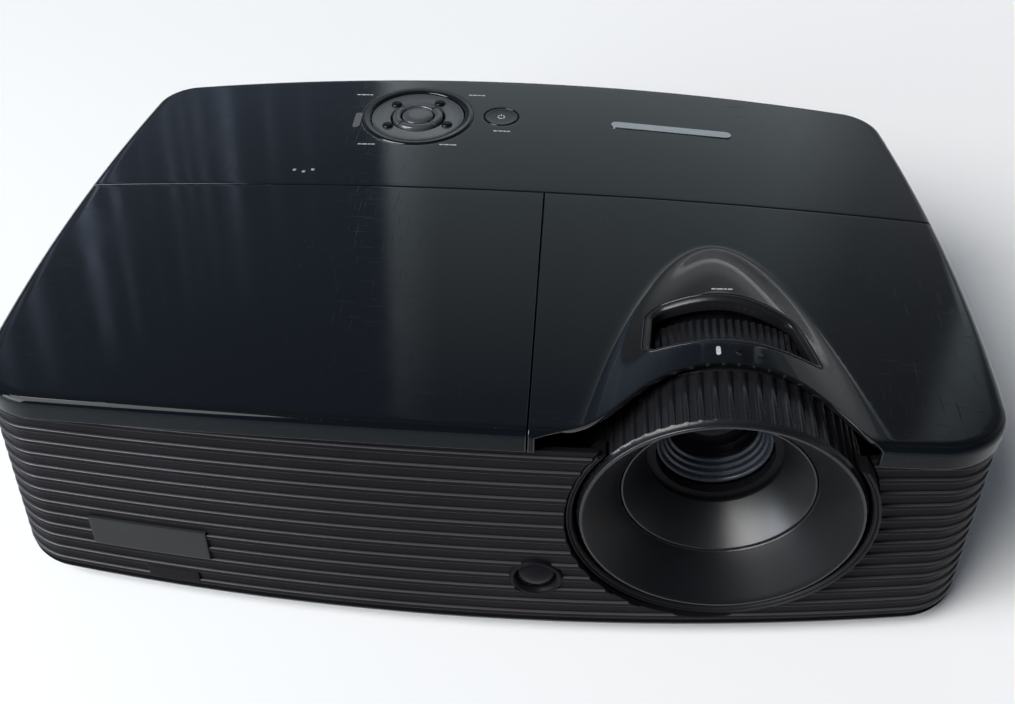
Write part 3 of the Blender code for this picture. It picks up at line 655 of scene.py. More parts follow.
def thicken(form, inside, edge=0.3):
    """Gives an open sheet its inside and rounded edges, so that it's a closed shell. Inside is
    a thickness, or the layer that holds the inner places."""
    form.normal_update()
    outer_faces = list(form.faces)
    rim_edges = [e for e in form.edges if e.is_boundary]
    out = {}
    for e in rim_edges:
        face = e.link_faces[0]
        a, b = e.verts
        way = (b.co - a.co).cross(face.normal).normalized()
        if way.dot(face.calc_center_median() - a.co) > 0:
            way = -way
        for v in (a, b):
            out.setdefault(v, []).append(way)
    if isinstance(inside, float):
        places = [v.co - v.normal * inside for v in form.verts]
    else:
        places = [v[inside].copy() for v in form.verts]
    inner = {v: form.verts.new(place) for v, place in zip(list(form.verts), places)}
    rows = {}
    for v, ways in out.items():
        scale = 1 + (ways[0].dot(ways[1]) if len(ways) > 1 else 1)
        way = edge * sum(ways, Vector()) / max(scale, 0.6)
        down = inner[v].co - v.co
        thick = down.length
        down = down / thick
        row = [form.verts.new(v.co + way * o + down * edge * d) for o, d in ROUNDING]
        row.append(form.verts.new(v.co + way + down * (thick - 0.3 * edge)))
        rows[v] = [v, *row, inner[v]]
    for face in outer_faces:
        form.faces.new([inner[v] for v in reversed(face.verts)])
    for e in rim_edges:
        a, b = (rows[v] for v in e.verts)
        for k in range(len(a) - 1):
            form.faces.new((a[k], b[k], b[k + 1], a[k + 1]))


# ---- top covers

# Faces lying wholly this far below the crown take the second look, a darker copy of the gloss that
# paints shade on the skirt.
SKIRT_BELOW = -0.3
EDGE = 0.35
SEAM_HALF = GAP / 2 + EDGE + 0.05

# Right half of the mouth round the focus ring, from the middle of the lens.
LIP = ((0, -79.3), (8, -79.5), (14, -80.3), (20, -82.0), (26, -85.2), (31, -89.2), (36, -93.6),
       (41, -97.2), (46, -99.6), (52, -101.6), (60, -103.5))
LIP_REACH = 75.0
# Corners of the zoom window from the middle of the lens: (x, y, radius).
WINDOW = ((-26.6, -70.9, 4.0), (27.9, -70.9, 1.6), (21.6, -48.6, 6.5), (2.0, -46.6, 60.0),
          (-24.6, -46.0, 7.0))


def settle_top(form):
    """Lays a trimmed plan sheet over the crown and the hump; its upright skirt and the lower part of
    its rolled edge get the second look, a darker copy of the gloss that paints shade on them."""
    for face in form.faces:
        if max(v.co.z for v in face.verts) < SKIRT_BELOW:
            face.material_index = 1
    for v in form.verts:
        v.co.z = top_height(*v.co)


def curve_through(points, samples):
    """A smooth curve through plan points (Catmull-Rom)."""
    ends = [points[0], *points, points[-1]]
    made = []
    for p0, p1, p2, p3 in zip(*(np.array(ends[k:], float) for k in range(4))):
        for t in np.arange(samples) / samples:
            made.append(0.5 * (2 * p1 + (p2 - p0) * t + (2 * p0 - 5 * p1 + 4 * p2 - p3) * t * t
                               + (3 * p1 - p0 - 3 * p2 + p3) * t**3))
    return [tuple(p) for p in made] + [points[-1]]


def lip_loop():
    """The mouth round the focus ring, in plan."""
    half = curve_through(LIP, 6) + [(LIP_REACH, -112), (LIP_REACH, -140)]
    return [(LENS_X + x, y) for x, y in half] + [(LENS_X - x, y) for x, y in half[:0:-1]]


def rounded_loop(corners, inset, steps=8):
    """A convex loop through (x, y, radius) corners, moved inwards."""
    points = []
    for i, (x, y, radius) in enumerate(corners):
        here = Vector((x, y))
        before = (Vector(corners[i - 1][:2]) - here).normalized()
        after = (Vector(corners[(i + 1) % len(corners)][:2]) - here).normalized()
        centre = here + (before + after).normalized() * (radius / sin(before.angle(after) / 2))
        start = -Vector((-before.y, before.x))
        end = Vector((-after.y, after.x))
        if start.dot(here - centre) < 0:
            start = -start
        if end.dot(here - centre) < 0:
            end = -end
        turn = start.angle(end) * (1 if start.cross(end) > 0 else -1)
        for k in range(steps + 1):
            way = start.copy()
            way.rotate(Matrix.Rotation(turn * k / steps, 2))
            points.append(tuple(centre + way * (radius - inset)))
    return points


def window_loop(inset, steps=8):
    return [(LENS_X + x, y) for x, y in rounded_loop(WINDOW, inset, steps)]


def rounded_box(x0, y0, x1, y1, radius):
    corners = ((x0, y0, radius), (x1, y0, radius), (x1, y1, radius), (x0, y1, radius))
    return rounded_loop(corners, 0, 5)


def circle_loop(x, y, radius, steps=48):
    angles = [2 * pi * k / steps for k in range(steps)]
    return [(x + radius * cos(a), y + radius * sin(a)) for a in angles]


def near_to(x, y, reach):
    return lambda co: hypot(co.x - x, co.y - y) < reach


def make_cover(sheet, node, cuts, body="case", wall=WALL, holes=()):
    """One of the glossy covers, cut out of the top's sheet by (curve, filter) cuts."""
    form = sheet.copy()
    for measure, only in cuts:
        trim(form, measure, only=only)
    settle_top(form)
    thicken(form, wall, EDGE)
    # The second look paints shade on the skirt and the lower rolled edge.
    piece(node + "_shell", form, GLOSS, node, body, even=True, more=[GLOSS_SHADED_SKIRT],
          holes=holes)


def make_top_covers():
    sheet = top_sheet()
    behind = half_plane(1, SEAM_Y + SEAM_HALF, 1)
    ahead = half_plane(1, SEAM_Y - SEAM_HALF, -1)
    make_cover(sheet, "rear_top_panel", (
        (behind, anywhere),
        (signed(circle_loop(*PAD, PAD_R + 0.2)), near_to(*PAD, 30)),
        (signed(circle_loop(*POWER, POWER_R + GAP + EDGE)), near_to(*POWER, 12)),
    ))
    x, y, over = LAMP_SCREW
    hole = (Vector((x, y, RIM + over + swell(x, y))), SIDE, LAMP_SCREW_R + GAP, 8.0)
    make_cover(sheet, "lamp_cover", (
        (ahead, anywhere),
        (half_plane(0, SEAM_X - SEAM_HALF, -1), anywhere),
    ), "lamp_cover", holes=[hole])
    make_cover(sheet, "lens_side_cover", (
        (ahead, anywhere),
        (half_plane(0, SEAM_X + SEAM_HALF, 1), anywhere),
        (signed(lip_loop()), near_to(LENS_X, -95, 70)),
        (signed(window_loop(-EDGE - 0.15)), near_to(LENS_X, -58, 40)),
    ), wall=WALL - 0.6)
    sheet.free()


# ---- walls

FRONT_SPARE = 4.0
SIDE_X = 120.0
SIDE_Y = 90.0
RIBS = 13
RIB_LOW = 10.85
RIB_PITCH = 5.5
RIB_WIDTH = 1.9
RIB_DEPTH = 0.75
# Half of a rib's section: (share of its half width, share of its depth, look of what follows).
# Look 2 is brighter plastic that paints a highlight on the rounded rib edges.
RIB_SECTION = ((-1.0, 1.0, 2), (-0.99, 0.55, 2), (-0.88, 0.2, 2), (-0.66, 0.04, 0), (-0.3, 0.0, 0))

BASE_ROWS = 22
BASE_GAP = 0.6
FLOOR_SHARES = (0.25, 0.55, 0.8, 0.94)
SPLIT_FOOT = 1.7
# Windows in the lower casing, for the two grilles, the sockets and the inlet: a corner, the far
# corner and a radius; the view that shows them; and the stretch of wall that they are cut in.
GRILLE = (-46, 16, 40, 66, 2.5)
WINDOWS = (
    (GRILLE, SIDE_VIEW, lambda co: co.x < -140 and abs(co.y) < 60),
    (GRILLE, SIDE_VIEW, lambda co: co.x > 140 and abs(co.y) < 60),
    ((-98, 40, 66, 66, 2.0), FRONT_VIEW, lambda co: co.y > 80 and co.z > 12),
    ((93.7, 13.7, 123.3, 38.3, 1.5), FRONT_VIEW,
     lambda co: co.y > 75 and co.z > 6.1 and co.x > 60),
)


def settle(x, y, z):
    start = BODY_BOTTOM + FLOOR
    share = min(1.0, max(0.0, (z - start) / (RIM - start)))
    return z + swell(x, y) * share


def lean(z):
    down = (RIM - z) / (RIM - BODY_BOTTOM)
    return WALL_INSET - (WALL_INSET + FLARE) * down


def belly_inset(z):
    """Inset of the wall with the rounding of the belly at its foot."""
    up = min(1.0, (z - BODY_BOTTOM) / BELLY_ROUND)
    return lean(z) + BELLY_ROUND * (1 - sqrt(max(0.0, up * (2 - up)))) * 0.8


def wall_ring(front_step, side_step, corner_steps):
    """Stations round the wall, counter-clockwise from the front's left end: points of the
    straight runs, and (side, side, radius, angle) in the corners."""
    w = HALF_WIDTH
    d = HALF_DEPTH
    front = WALL_CORNER
    back = BACK_CORNER
    runs = (
        (front - w, -d, w - front, -d, front_step, (1, -1, front, -90)),
        (w, front - d, w, d - back, side_step, (1, 1, back, 0)),
        (w - back, d, back - w, d, side_step, (-1, 1, back, 90)),
        (-w, d - back, -w, front - d, side_step, (-1, -1, front, 180)),
    )
    stations = []
    for x0, y0, x1, y1, step, (*corner, start) in runs:
        count = round(hypot(x1 - x0, y1 - y0) / step)
        stations += [(x0 + (x1 - x0) * k / count, y0 + (y1 - y0) * k / count) for k in range(count)]
        stations += [(*corner, radians(start + 90 * k / corner_steps)) for k in range(corner_steps)]
    return stations


def station_place(station, inset):
    if len(station) == 2:
        x, y = station
        if abs(abs(x) - HALF_WIDTH) < 1e-6:
            x -= inset if x > 0 else -inset
        else:
            y -= inset if y > 0 else -inset
    else:
        side_x, side_y, radius, angle = station
        r = max(radius - inset, 4.0)
        x = side_x * (HALF_WIDTH - inset - r) + r * cos(angle)
        y = side_y * (HALF_DEPTH - inset - r) + r * sin(angle)
    return warped(x, y, inset, WALL_BOW)


def wall_row(stations, z, inset, inner_inset):
    """(outside, inside) points round the wall at a height."""
    row = []
    for station in stations:
        x, y = station_place(station, inset)
        ix, iy = station_place(station, inner_inset)
        inner_z = max(settle(ix, iy, z), BODY_BOTTOM + FLOOR)
        row.append(((x, y, settle(x, y, z)), (ix, iy, inner_z)))
    return row


def rib_rows():
    """(height, how far the wall stands back of the rib tops, look index of the strip above) up
    the ribbed front."""
    section = list(RIB_SECTION)
    looks = [look for _, _, look in reversed(RIB_SECTION[:-1])] + [1]
    section += [(-up, back, look) for (up, back, _), look in zip(reversed(RIB_SECTION), looks)]
    rows = [(BODY_BOTTOM + FLOOR + 0.1, 0.0, 0), (7.7, 0.0, 0), (7.9, RIB_DEPTH, 1)]
    for k in range(RIBS):
        middle = RIB_LOW + RIB_PITCH * k
        rows += [(middle + up * RIB_WIDTH / 2, back * RIB_DEPTH, look) for up, back, look in section]
        rows.append((middle + RIB_WIDTH / 2 + 0.9, RIB_DEPTH, 1))
    rows.append((RIM - GAP, RIB_DEPTH, 1))
    return rows


def in_front(station):
    return station_place(station, 0)[1] < FRONT_SPLIT_Y + FRONT_SPARE


def order_round(station):
    """Orders stations from the left side, round the front, to the right side. Past SIDE_X the
    depth counts too, which makes the two neighbours on each side of it change places."""
    x, y = station_place(station, 0)
    return x + (y + SIDE_Y) * (1 if x > 0 else -1) * (abs(x) > SIDE_X)


def make_front_panel():
    """The ribbed front, as one shell that wraps the corners."""
    stations = sorted(filter(in_front, wall_ring(3.0, 2.5, 14)), key=order_round)
    form = bmesh.new()
    inside = form.verts.layers.float_vector.new("inside")
    rows = rib_rows()
    grid(form, [
        wall_row(stations, z, belly_inset(z) + back - RIB_DEPTH * 0.5, belly_inset(z) + WALL)
        for z, back, _ in rows
    ], inside=inside)
    for k, face in enumerate(form.faces):
        face.material_index = rows[k // (len(stations) - 1)][2]
    trim(form, half_plane(1, FRONT_SPLIT_Y - SEAM_HALF, -1), snap=0.1)
    trim(form, signed(circle_loop(LENS_X, LENS_Z, BEZEL_R + GAP + 0.3, 160)), FRONT_VIEW)
    trim(form, signed(circle_loop(IR_X, IR_Z, IR_R + 0.2, 64)), FRONT_VIEW,
         only=lambda co: abs(co.x - IR_X) < 25)
    thicken(form, inside)
    # The third look paints a highlight on the rounded rib edges.
    piece("front_panel_shell", form, SATIN, "front_panel", flat=50, even=True,
          more=[GROOVE, RIB_EDGE_HIGHLIGHT])


def make_base_shell():
    """The lower casing's outside, with windows for the grilles, the sockets and the inlet."""
    stations = wall_ring(6.0, 5.0, 10)
    heights = [BODY_BOTTOM + BELLY_ROUND * (1 - cos(radians(a))) for a in range(0, 91, 15)]
    low = heights[-1]
    high = RIM - BASE_GAP
    heights += lines(low, (high, (high - low) / BASE_ROWS))[1:]
    form = bmesh.new()
    inside = form.verts.layers.float_vector.new("inside")
    walls = [wall_row(stations, z, belly_inset(z), lean(z) + WALL + BASE_GAP) for z in heights]
    rings = []
    for share in FLOOR_SHARES:
        ring = [(x * share, y * share) for (x, y, _), _ in walls[0]]
        rings.append([((x, y, BODY_BOTTOM), (x, y, BODY_BOTTOM + FLOOR)) for x, y in ring])
    made = grid(form, rings + walls, closed=True, inside=inside)
    centre = form.verts.new((0, 0, BODY_BOTTOM))
    centre[inside] = (0, 0, BODY_BOTTOM + FLOOR)
    for a, b in zip(made[0], made[0][1:] + made[0][:1]):
        form.faces.new((a, centre, b))

    trim(form, half_plane(1, FRONT_SPLIT_Y + SEAM_HALF, 1), snap=0.1,
         only=lambda co: co.z > BODY_BOTTOM + SPLIT_FOOT)
    for window, view, only in WINDOWS:
        trim(form, signed(rounded_box(*window)), view, only=only)
    thicken(form, inside)
    holes = [(Vector((x, y, 0)), UP, STEM_R + GAP, 20.0) for x, y in FOOT_PLACES.values()]
    piece("base_shell_skin", form, SATIN, "base_shell", flat=50, even=True,
          holes=holes)


def make_feet():
    """Knurled knobs on the three screw feet."""
    teeth = 30
    grip = 0.35

    def knurl(radius, height, angle):
        if radius < FOOT_R - grip:
            return radius
        return radius - grip * (0.5 + 0.5 * cos(angle * teeth))

    side = [(FOOT_R - 0.5, FOOT_HEIGHT), (FOOT_R, FOOT_HEIGHT - 0.5), (FOOT_R, 0.8)]
    sole = [(FOOT_R - 1, 0), (5.5, 0), (5.2, 0.3), (0, 0.3)]
    socket = [(0, 1.0), (STEM_R + GAP, 1.0), (STEM_R + GAP, FOOT_HEIGHT)]
    for name, (x, y) in FOOT_PLACES.items():
        turned(name + "_foot_grip", side + sole + socket, (x, y, 0), UP, RUBBER,
               name + "_foot_knob", name + "_knob", 0.15, teeth * 8, knurl)


# ---- lens

FOCUS_RIBS = 64
FOCUS_GROOVE = 0.8
FOCUS_BACK = -22.0
CONE_R = 30.5
CONE_START = -12.5
BEZEL_TOP = RIM + 4.4
ZOOM_TEETH = 100
ZOOM_GROOVE = 0.6


def focus_knurl(radius, height, angle):
    """Ribs along the ring's side; between them it keeps to the level of its front rim."""
    if radius < RING_R - 0.01:
        return radius
    phase = (angle * FOCUS_RIBS / (2 * pi)) % 1.0
    rib = 0.5 - 0.5 * np.tanh(16 * (abs(phase - 0.5) - 0.21))
    return radius - FOCUS_GROOVE * (1 - rib)


def zoom_knurl(radius, height, angle):
    if radius < 37:
        return radius
    phase = (angle * ZOOM_TEETH / (2 * pi)) % 1.0
    return radius - ZOOM_GROOVE * abs(2 * phase - 1)


def make_focus_ring(at):
    form = bmesh.new()
    rim = RING_R - FOCUS_GROOVE
    side = [(rim, -0.5), (rim, -1.7), (RING_R - 0.12, -2.3), (RING_R, -2.5),
            (RING_R, FOCUS_BACK + 0.7), (rim, FOCUS_BACK)]
    inner = [(RING_R - 2.4, FOCUS_BACK), (RING_R - 2.4, -13.5), (31.4, -15.0), (30.2, -14.8),
             (30.2, -12.9), (CONE_R, CONE_START)]
    cone = [(CONE_R + (rim - 1.2 - CONE_R) * t, CONE_START + 12.3 * t**0.92)
            for t in (k / 12 for k in range(1, 13))]
    lip = [(rim - 0.95, -0.02), (rim - 0.4, 0), (rim - 0.1, -0.15)]
    lathe(form, side + inner + cone + lip, at, FRONT, FOCUS_RIBS * 12, focus_knurl)
    for face in form.faces:
        middle = face.calc_center_median() - Vector(at)
        if hypot(middle.x, middle.z) < rim - 1.0 and -middle.y > CONE_START - 0.1:
            face.material_index = 1
    piece("focus_ring_knurled", form, RING, "focus_ring", "focus_ring", 55,
          more=[CONE])


def make_bezel(at):
    """The ring round the focus ring, cut off where the top covers take over."""
    form = bmesh.new()
    profile = [(BEZEL_R, -0.4), (BEZEL_R, -7), (44.5, -7), (44.5, -1.4), (45.15, -0.5),
               (45.5, -0.5), (45.65, -0.8), (45.8, -0.8), (45.95, -0.1), (46.45, -0.1)]
    lathe(form, softened(profile, 0.12, 2), at, FRONT, 200)
    bmesh.ops.bisect_plane(form, geom=form.verts[:] + form.edges[:] + form.faces[:],
                           plane_co=(0, 0, BEZEL_TOP), plane_no=(0, 0, 1), clear_outer=True)
    bmesh.ops.holes_fill(form, edges=[e for e in form.edges if e.is_boundary])
    piece("lens_bezel_ring", form, DARK, "lens_bezel", flat=40)


def make_lens():
    """The focus ring, bezel and hood are placed from the ring's front, the rest from the middle
    of the casing."""
    rim_at = (LENS_X, -RING_FRONT, LENS_Z)
    at = (LENS_X, 0, LENS_Z)
    make_focus_ring(rim_at)
    make_bezel(rim_at)

    hood = [(29.8, -12.9), (30.0, -14.9), (25.0, -27.3), (21.6, -27.3), (21.6, -26.1),
            (29.2, -12.9)]
    turned("lens_hood_cone", hood, rim_at, FRONT, HOOD, "lens_hood", edge=0.15,
           steps=160)

    rings = [(18.5, 69.8), (18.5, 60.4), (13.0, 60.4), (13.0, 61.6), (14.2, 61.6), (14.2, 63.4),
             (15.2, 63.8), (15.2, 65.4), (16.2, 65.8), (16.2, 67.4), (17.2, 67.8), (17.2, 69.2),
             (17.8, 69.8)]
    turned("lens_barrel_stepped", rings, at, FRONT, BARREL, "lens_barrel",
           "focus_group", 0.22, 140)

    dome = [(0, 61.8), *dome_profile(14.1, 65.4, 2.8), (14.1, 61.8)]
    turned("front_lens_dome", dome, at, FRONT, GLASS, "front_lens_element",
           "focus_group", 0.05, 120, flat=60)

    collar = [(42.5, 79.2), (42.5, 72.0), (40.9, 72.0), (40.9, 77.2), (37.5, 77.2), (37.5, 79.2)]
    turned("lens_collar_ring", collar, at, FRONT, RING, "lens_collar", steps=160)

    ring = [(38.4, 73.2), (38.4, 52.0), (34.0, 52.0), (34.0, 73.2)]
    form = bmesh.new()
    lathe(form, softened(ring, 0.3, 2), at, FRONT, ZOOM_TEETH * 6, zoom_knurl)
    piece("zoom_ring_knurled", form, RING, "zoom_ring", "zoom_ring", 50)


def dome_profile(radius, top, drop, steps=12):
    return [(radius * k / steps, top - drop * (k / steps) ** 2) for k in range(steps + 1)]


# The window frame's section: (inset from the window's edge, height over the hump).
FRAME_SECTION = ((0.05, -2.4), (0.05, -0.35), (0.2, -0.08), (0.45, 0.02), (0.9, -0.02),
                 (1.2, -0.15), (2.1, -0.95), (2.4, -1.3), (2.5, -1.8), (2.6, -3.4), (2.6, -5.0),
                 (1.6, -5.0), (1.4, -3.4), (1.2, -2.4))


def make_window_frame():
    """The frame let into the hump round the zoom window, with its chamfer and inner walls."""
    form = bmesh.new()
    rows = [[(x, y, top_height(x, y, over)) for x, y in resample(window_loop(inset, 10), 180)]
            for inset, over in FRAME_SECTION]
    grid(form, rows, closed=True, loop=True)
    piece("zoom_window_frame", form, RING, flat=60)


def resample(loop, count):
    """The same closed loop with evenly spaced points."""
    closed = np.array(loop + loop[:1])
    run = np.concatenate([[0], np.cumsum(np.linalg.norm(np.diff(closed, axis=0), axis=1))])
    at = np.linspace(0, run[-1], count, endpoint=False)
    return zip(np.interp(at, run, closed[:, 0]), np.interp(at, run, closed[:, 1]))


# ---- keypad

ARROW_SWEEP = 43.6
ARROW_STEPS = 24
KEY_FOOT = -4.0
LABELS = {
    "menu_key": (-60.2, 87.2), "source_key": (-15.4, 88.8), "resync_key": (-54.2, 49.4),
    "help_key": (-23.4, 50.4), "power_key": (-3.8, 61.8), "zoom_ring": (71.4, -43.6),
}
# Start and length of each dash that stands for a word, and half the height of its strokes.
DASHES = ((-3.1, 1.3), (-1.5, 1.9), (0.7, 0.9), (1.9, 1.4))
DASH_HALF = 0.3


def tilt_of(x, y):
    return Euler((-atan(RISE), atan(2 * CROWN * x / HALF_WIDTH**2), 0)).to_matrix()


def on_top(x, y, local=(0, 0, 0)):
    return Vector((x, y, TOP + swell(x, y))) + tilt_of(x, y) @ Vector(local)


def make_keypad():
    at = on_top(*PAD)
    turn = tilt_of(*PAD)
    bezel = [(PAD_R, -0.25), (PAD_R, -3), (PLATE_R + GAP, -3), (PLATE_R + GAP, -0.1),
             (PLATE_R + 0.7, 0.22), (PLATE_R + 1.1, 0.34), (PAD_R - 1.2, 0.46),
             (PAD_R - 0.5, 0.38), (PAD_R - 0.12, 0.1)]
    turned("keypad_ring", bezel, at, turn, GLOSS, "keypad_bezel", edge=0.18,
           steps=128)

    dish = [(PLATE_R, -0.45), (PLATE_R, -3), (ARROW_OUTER_R + 0.8, -3),
            (ARROW_OUTER_R + 0.8, -0.75), (ARROW_OUTER_R + 1.2, -0.62), (14.0, -0.58),
            (16.9, -0.4), (17.6, -0.2)]
    turned("keypad_dish", dish, at, turn, KEY, "keypad_plate", edge=0.2, steps=128)

    enter = [(0, 0.75), (3.4, 0.72), (5.0, 0.6), (ENTER_R - 0.1, 0.2), (ENTER_R, -0.4)]
    make_key("enter_key", enter, at, turn, KEY, 0.35, 96)
    for name, angle in ARROW_KEYS.items():
        make_arrow_key(name, angle, at, turn)
    small = [(0, 0.42), (1.1, 0.40), (1.75, 0.25), (SMALL_KEY_R, -0.2)]
    for name, angle in SMALL_KEYS.items():
        a = radians(angle)
        key_at = on_top(*PAD, (SMALL_KEY_CIRCLE_R * cos(a), SMALL_KEY_CIRCLE_R * sin(a), 0))
        make_key(name, small, key_at, turn, KEY_DARK, 0.25, 48)
        make_dashes(name + "_label", *LABELS[name])

    power = [(0, -0.12), (4.6, -0.06), (6.2, 0.04), (POWER_R, -0.2)]
    make_key("power_key", power, on_top(*POWER), tilt_of(*POWER), GLOSS, 0.2, 96)
    make_power_icon(on_top(*POWER), tilt_of(*POWER))
    make_dashes("power_label", *LABELS["power_key"])


def make_key(name, profile, at, turn, look, edge, steps):
    """A round key, from the profile of its cap."""
    profile = profile + [(profile[-1][0], KEY_FOOT), (0, KEY_FOOT)]
    turned(name + "_cap", profile, at, turn, look, name, name, edge, steps)


def make_arrow_key(name, angle, at, turn):
    """One quarter of the ring round the enter key, with a crowned top."""
    form = bmesh.new()
    middle = (ARROW_OUTER_R + ARROW_INNER_R) / 2
    half = (ARROW_OUTER_R - ARROW_INNER_R) / 2
    section = [(-half, KEY_FOOT), (-half, 0.0), (-half + 0.25, 0.32), (-half + 0.7, 0.45),
               (0, 0.5), (half - 0.7, 0.4), (half - 0.25, 0.2), (half, -0.15), (half, KEY_FOOT)]
    rows = []
    for k in range(ARROW_STEPS + 1):
        around = radians(angle + (k / ARROW_STEPS * 2 - 1) * ARROW_SWEEP)
        end = min(k, ARROW_STEPS - k)
        sink = (0.28, 0.08, 0.0)[min(end, 2)]
        row = []
        for out, up in section:
            r = middle + out
            z = up - sink if up > KEY_FOOT else up
            row.append(turn @ Vector((r * cos(around), r * sin(around), z)) + at)
        rows.append(row)
    made = grid(form, rows, closed=True)
    for end in (made[0], made[-1]):
        form.faces.new(end)
    piece(name + "_cap", form, KEY, name, name, 50)


def slab(form, plan, low, high, at, turn):
    """A flat prism in the local plane of a turned place."""
    rows = [[turn @ Vector((x, y, z)) + at for x, y in plan] for z in (low, high)]
    bottom, top = grid(form, rows, closed=True)
    form.faces.new(bottom[::-1])
    form.faces.new(top)


def bar(name, at, turn, lift, length, width, angle, look, thick=0.05, slot="key_plastic"):
    """A thin round-ended bar: a plain stand-in for a printed word or sign."""
    plan = []
    r = width / 2
    for side in (1, -1):
        for k in range(9):
            a = radians(-90 + 180 * k / 8)
            x = side * (length / 2 - r + r * cos(a))
            y = side * r * sin(a)
            plan.append((x * cos(angle) - y * sin(angle), x * sin(angle) + y * cos(angle)))
    form = bmesh.new()
    slab(form, plan, lift - thick, lift + thick, at, turn)
    piece(name, form, look, flat=30)


def box_plan(x0, y0, x1, y1):
    return [(x0, y0), (x1, y0), (x1, y1), (x0, y1)]


def make_dashes(name, x, y):
    """A short row of dashes, where the real one has a word."""
    form = bmesh.new()
    for start, length in DASHES:
        plan = box_plan(start, -DASH_HALF, start + length, DASH_HALF)
        slab(form, plan, -0.05, 0.06, *laid_on(x, y))
    piece(name, form, WHITE_INK, flat=30)


def make_power_icon(at, turn):
    """The usual open circle with a stroke."""
    form = bmesh.new()
    angles = [radians(90 + 32 + (360 - 64) * k / 24) for k in range(25)]
    outer, inner = ([(r * cos(a), r * sin(a)) for a in angles] for r in (1.45, 1.08))
    for a, b, c, d in zip(outer, outer[1:], inner[1:], inner):
        slab(form, [a, b, c, d], -0.16, -0.04, at, turn)
    slab(form, box_plan(-0.18, 0.5, 0.18, 1.8), -0.16, -0.04, at, turn)
    piece("power_key_icon", form, WHITE_INK, body="power_key", flat=30)


# ---- trim on the top and the front

TOP_BAR = (61.0, 69.5)
TOP_BAR_LENGTH = 46.0
TOP_BAR_WIDTH = 4.2
LIGHTS = ((-77.9, 30.6), (-74.3, 29.5), (-71.1, 30.9))
RECEIVER = (-60.3, 67.0)
RECEIVER_CORNERS = ((-1.1, -5.2, 1.0), (1.6, -5.2, 0.8), (1.6, 5.2, 0.8), (-1.1, 5.2, 1.0))
INDEX_MARK = (LENS_X - 5.0, -74.9)
CHEVRONS = (LENS_X + 4.2, -75.3)
CHEVRON_PITCH = 2.6
# The short filled stretch of the lowest groove: left, bottom, right, top.
GROOVE_FILL = (-110.2, 10.2, -93.2, 15.9)


def make_top_trim():
    bar("top_trim_bar", on_top(*TOP_BAR), tilt_of(*TOP_BAR), 0.12, TOP_BAR_LENGTH, TOP_BAR_WIDTH,
        radians(-3), SILVER, 0.16, "steel")
    lens = [(0, 0.16), (0.5, 0.12), (0.78, -0.02), (0.78, -1.5), (0, -1.5)]
    for k, place in enumerate(LIGHTS):
        turned(f"status_light_{k}", lens, on_top(*place), tilt_of(*place), LIGHT_LENS,
               "" if k else "status_light_guide", edge=0.1, steps=32)
    form = bmesh.new()
    slab(form, rounded_loop(RECEIVER_CORNERS, 0, 6), -1.0, 0.35, on_top(*RECEIVER),
         tilt_of(*RECEIVER))
    piece("top_receiver_window", form, TAB, "top_ir_window", flat=30)


def laid_on(x, y):
    """The point of the top or the hump at x, y, and the turn that lays a mark there."""
    step = 0.5
    across = Vector((2 * step, 0, top_height(x + step, y) - top_height(x - step, y))).normalized()
    along = Vector((0, 2 * step, top_height(x, y + step) - top_height(x, y - step))).normalized()
    up = across.cross(along).normalized()
    return Vector((x, y, top_height(x, y))), Matrix((across, up.cross(across), up)).transposed()


def make_hump_marks():
    """The index stroke for the zoom ring, two raised chevrons and a label above the window."""
    bar("zoom_index_mark", *laid_on(*INDEX_MARK), 0.03, 3.6, 1.3, radians(90), WHITE_INK)
    make_dashes("zoom_label", *LABELS["zoom_ring"])
    x, y = CHEVRONS
    for k, side in enumerate((-1, 1)):
        form = bmesh.new()
        plan = [(-0.6, 1.2), (1.0, 0), (-0.6, -1.2), (0.1, -1.2), (1.7, 0), (0.1, 1.2)]
        plan = [(out * side, up) for out, up in plan]
        slab(form, plan, -0.05, 0.2, *laid_on(x + CHEVRON_PITCH * side, y))
        piece(f"zoom_chevron_{k}", form, GLOSS, flat=30)


def wall_point(x, z, out):
    """A point on the front wall at x and height z, standing out of it."""
    inset = lean(z) - out - RIB_DEPTH * 0.5
    plain_x = x / ((1 - SIDE_BOW) * (1 + SIDE_TAPER))
    y = -(HALF_DEPTH - inset) * (1 - WALL_BOW * (plain_x / (HALF_WIDTH - inset)) ** 2)
    return Vector((x, y, settle(x, y, z)))


def wall_plate(name, x0, z0, x1, z1, out, look, slot, node=""):
    """A plain plate that follows the front wall."""
    form = bmesh.new()
    inside = form.verts.layers.float_vector.new("inside")
    columns = lines(x0, (x1, 1.5))
    grid(form, [[(wall_point(x, z, out), wall_point(x, z, -0.9)) for x in columns]
                for z in lines(z0, (z1, 1.0))], inside=inside)
    thicken(form, inside, 0.22)
    piece(name, form, look, node, flat=50)


def make_front_trim():
    at = (IR_X, -HALF_DEPTH - FLARE * 0.5, IR_Z)
    ring = [(IR_R, 0.3), (IR_R, -5), (6.4, -5), (6.4, -1.0), (6.9, 0.1), (7.5, 0.6)]
    turned("front_receiver_ring", ring, at, FRONT, SATIN, "front_ir_bezel")
    dome = [(0, -5), *dome_profile(6.3, 0.5, 1.9, 10), (6.3, -5)]
    turned("front_receiver_dome", dome, at, FRONT, SMOKED, "front_ir_window",
           edge=0.05, steps=80, flat=60)
    left = BADGE_X - BADGE_WIDTH / 2
    low = BADGE_Z - BADGE_HEIGHT / 2 - BADGE_DROP
    wall_plate("front_badge", left, low, left + BADGE_WIDTH, low + BADGE_HEIGHT, 0.35, PLATE_GREY,
               "dark_plastic", "badge_plate")
    wall_plate("groove_fill", *GROOVE_FILL, 0.05, SATIN, "satin_black")


# ---- floor, lights, camera

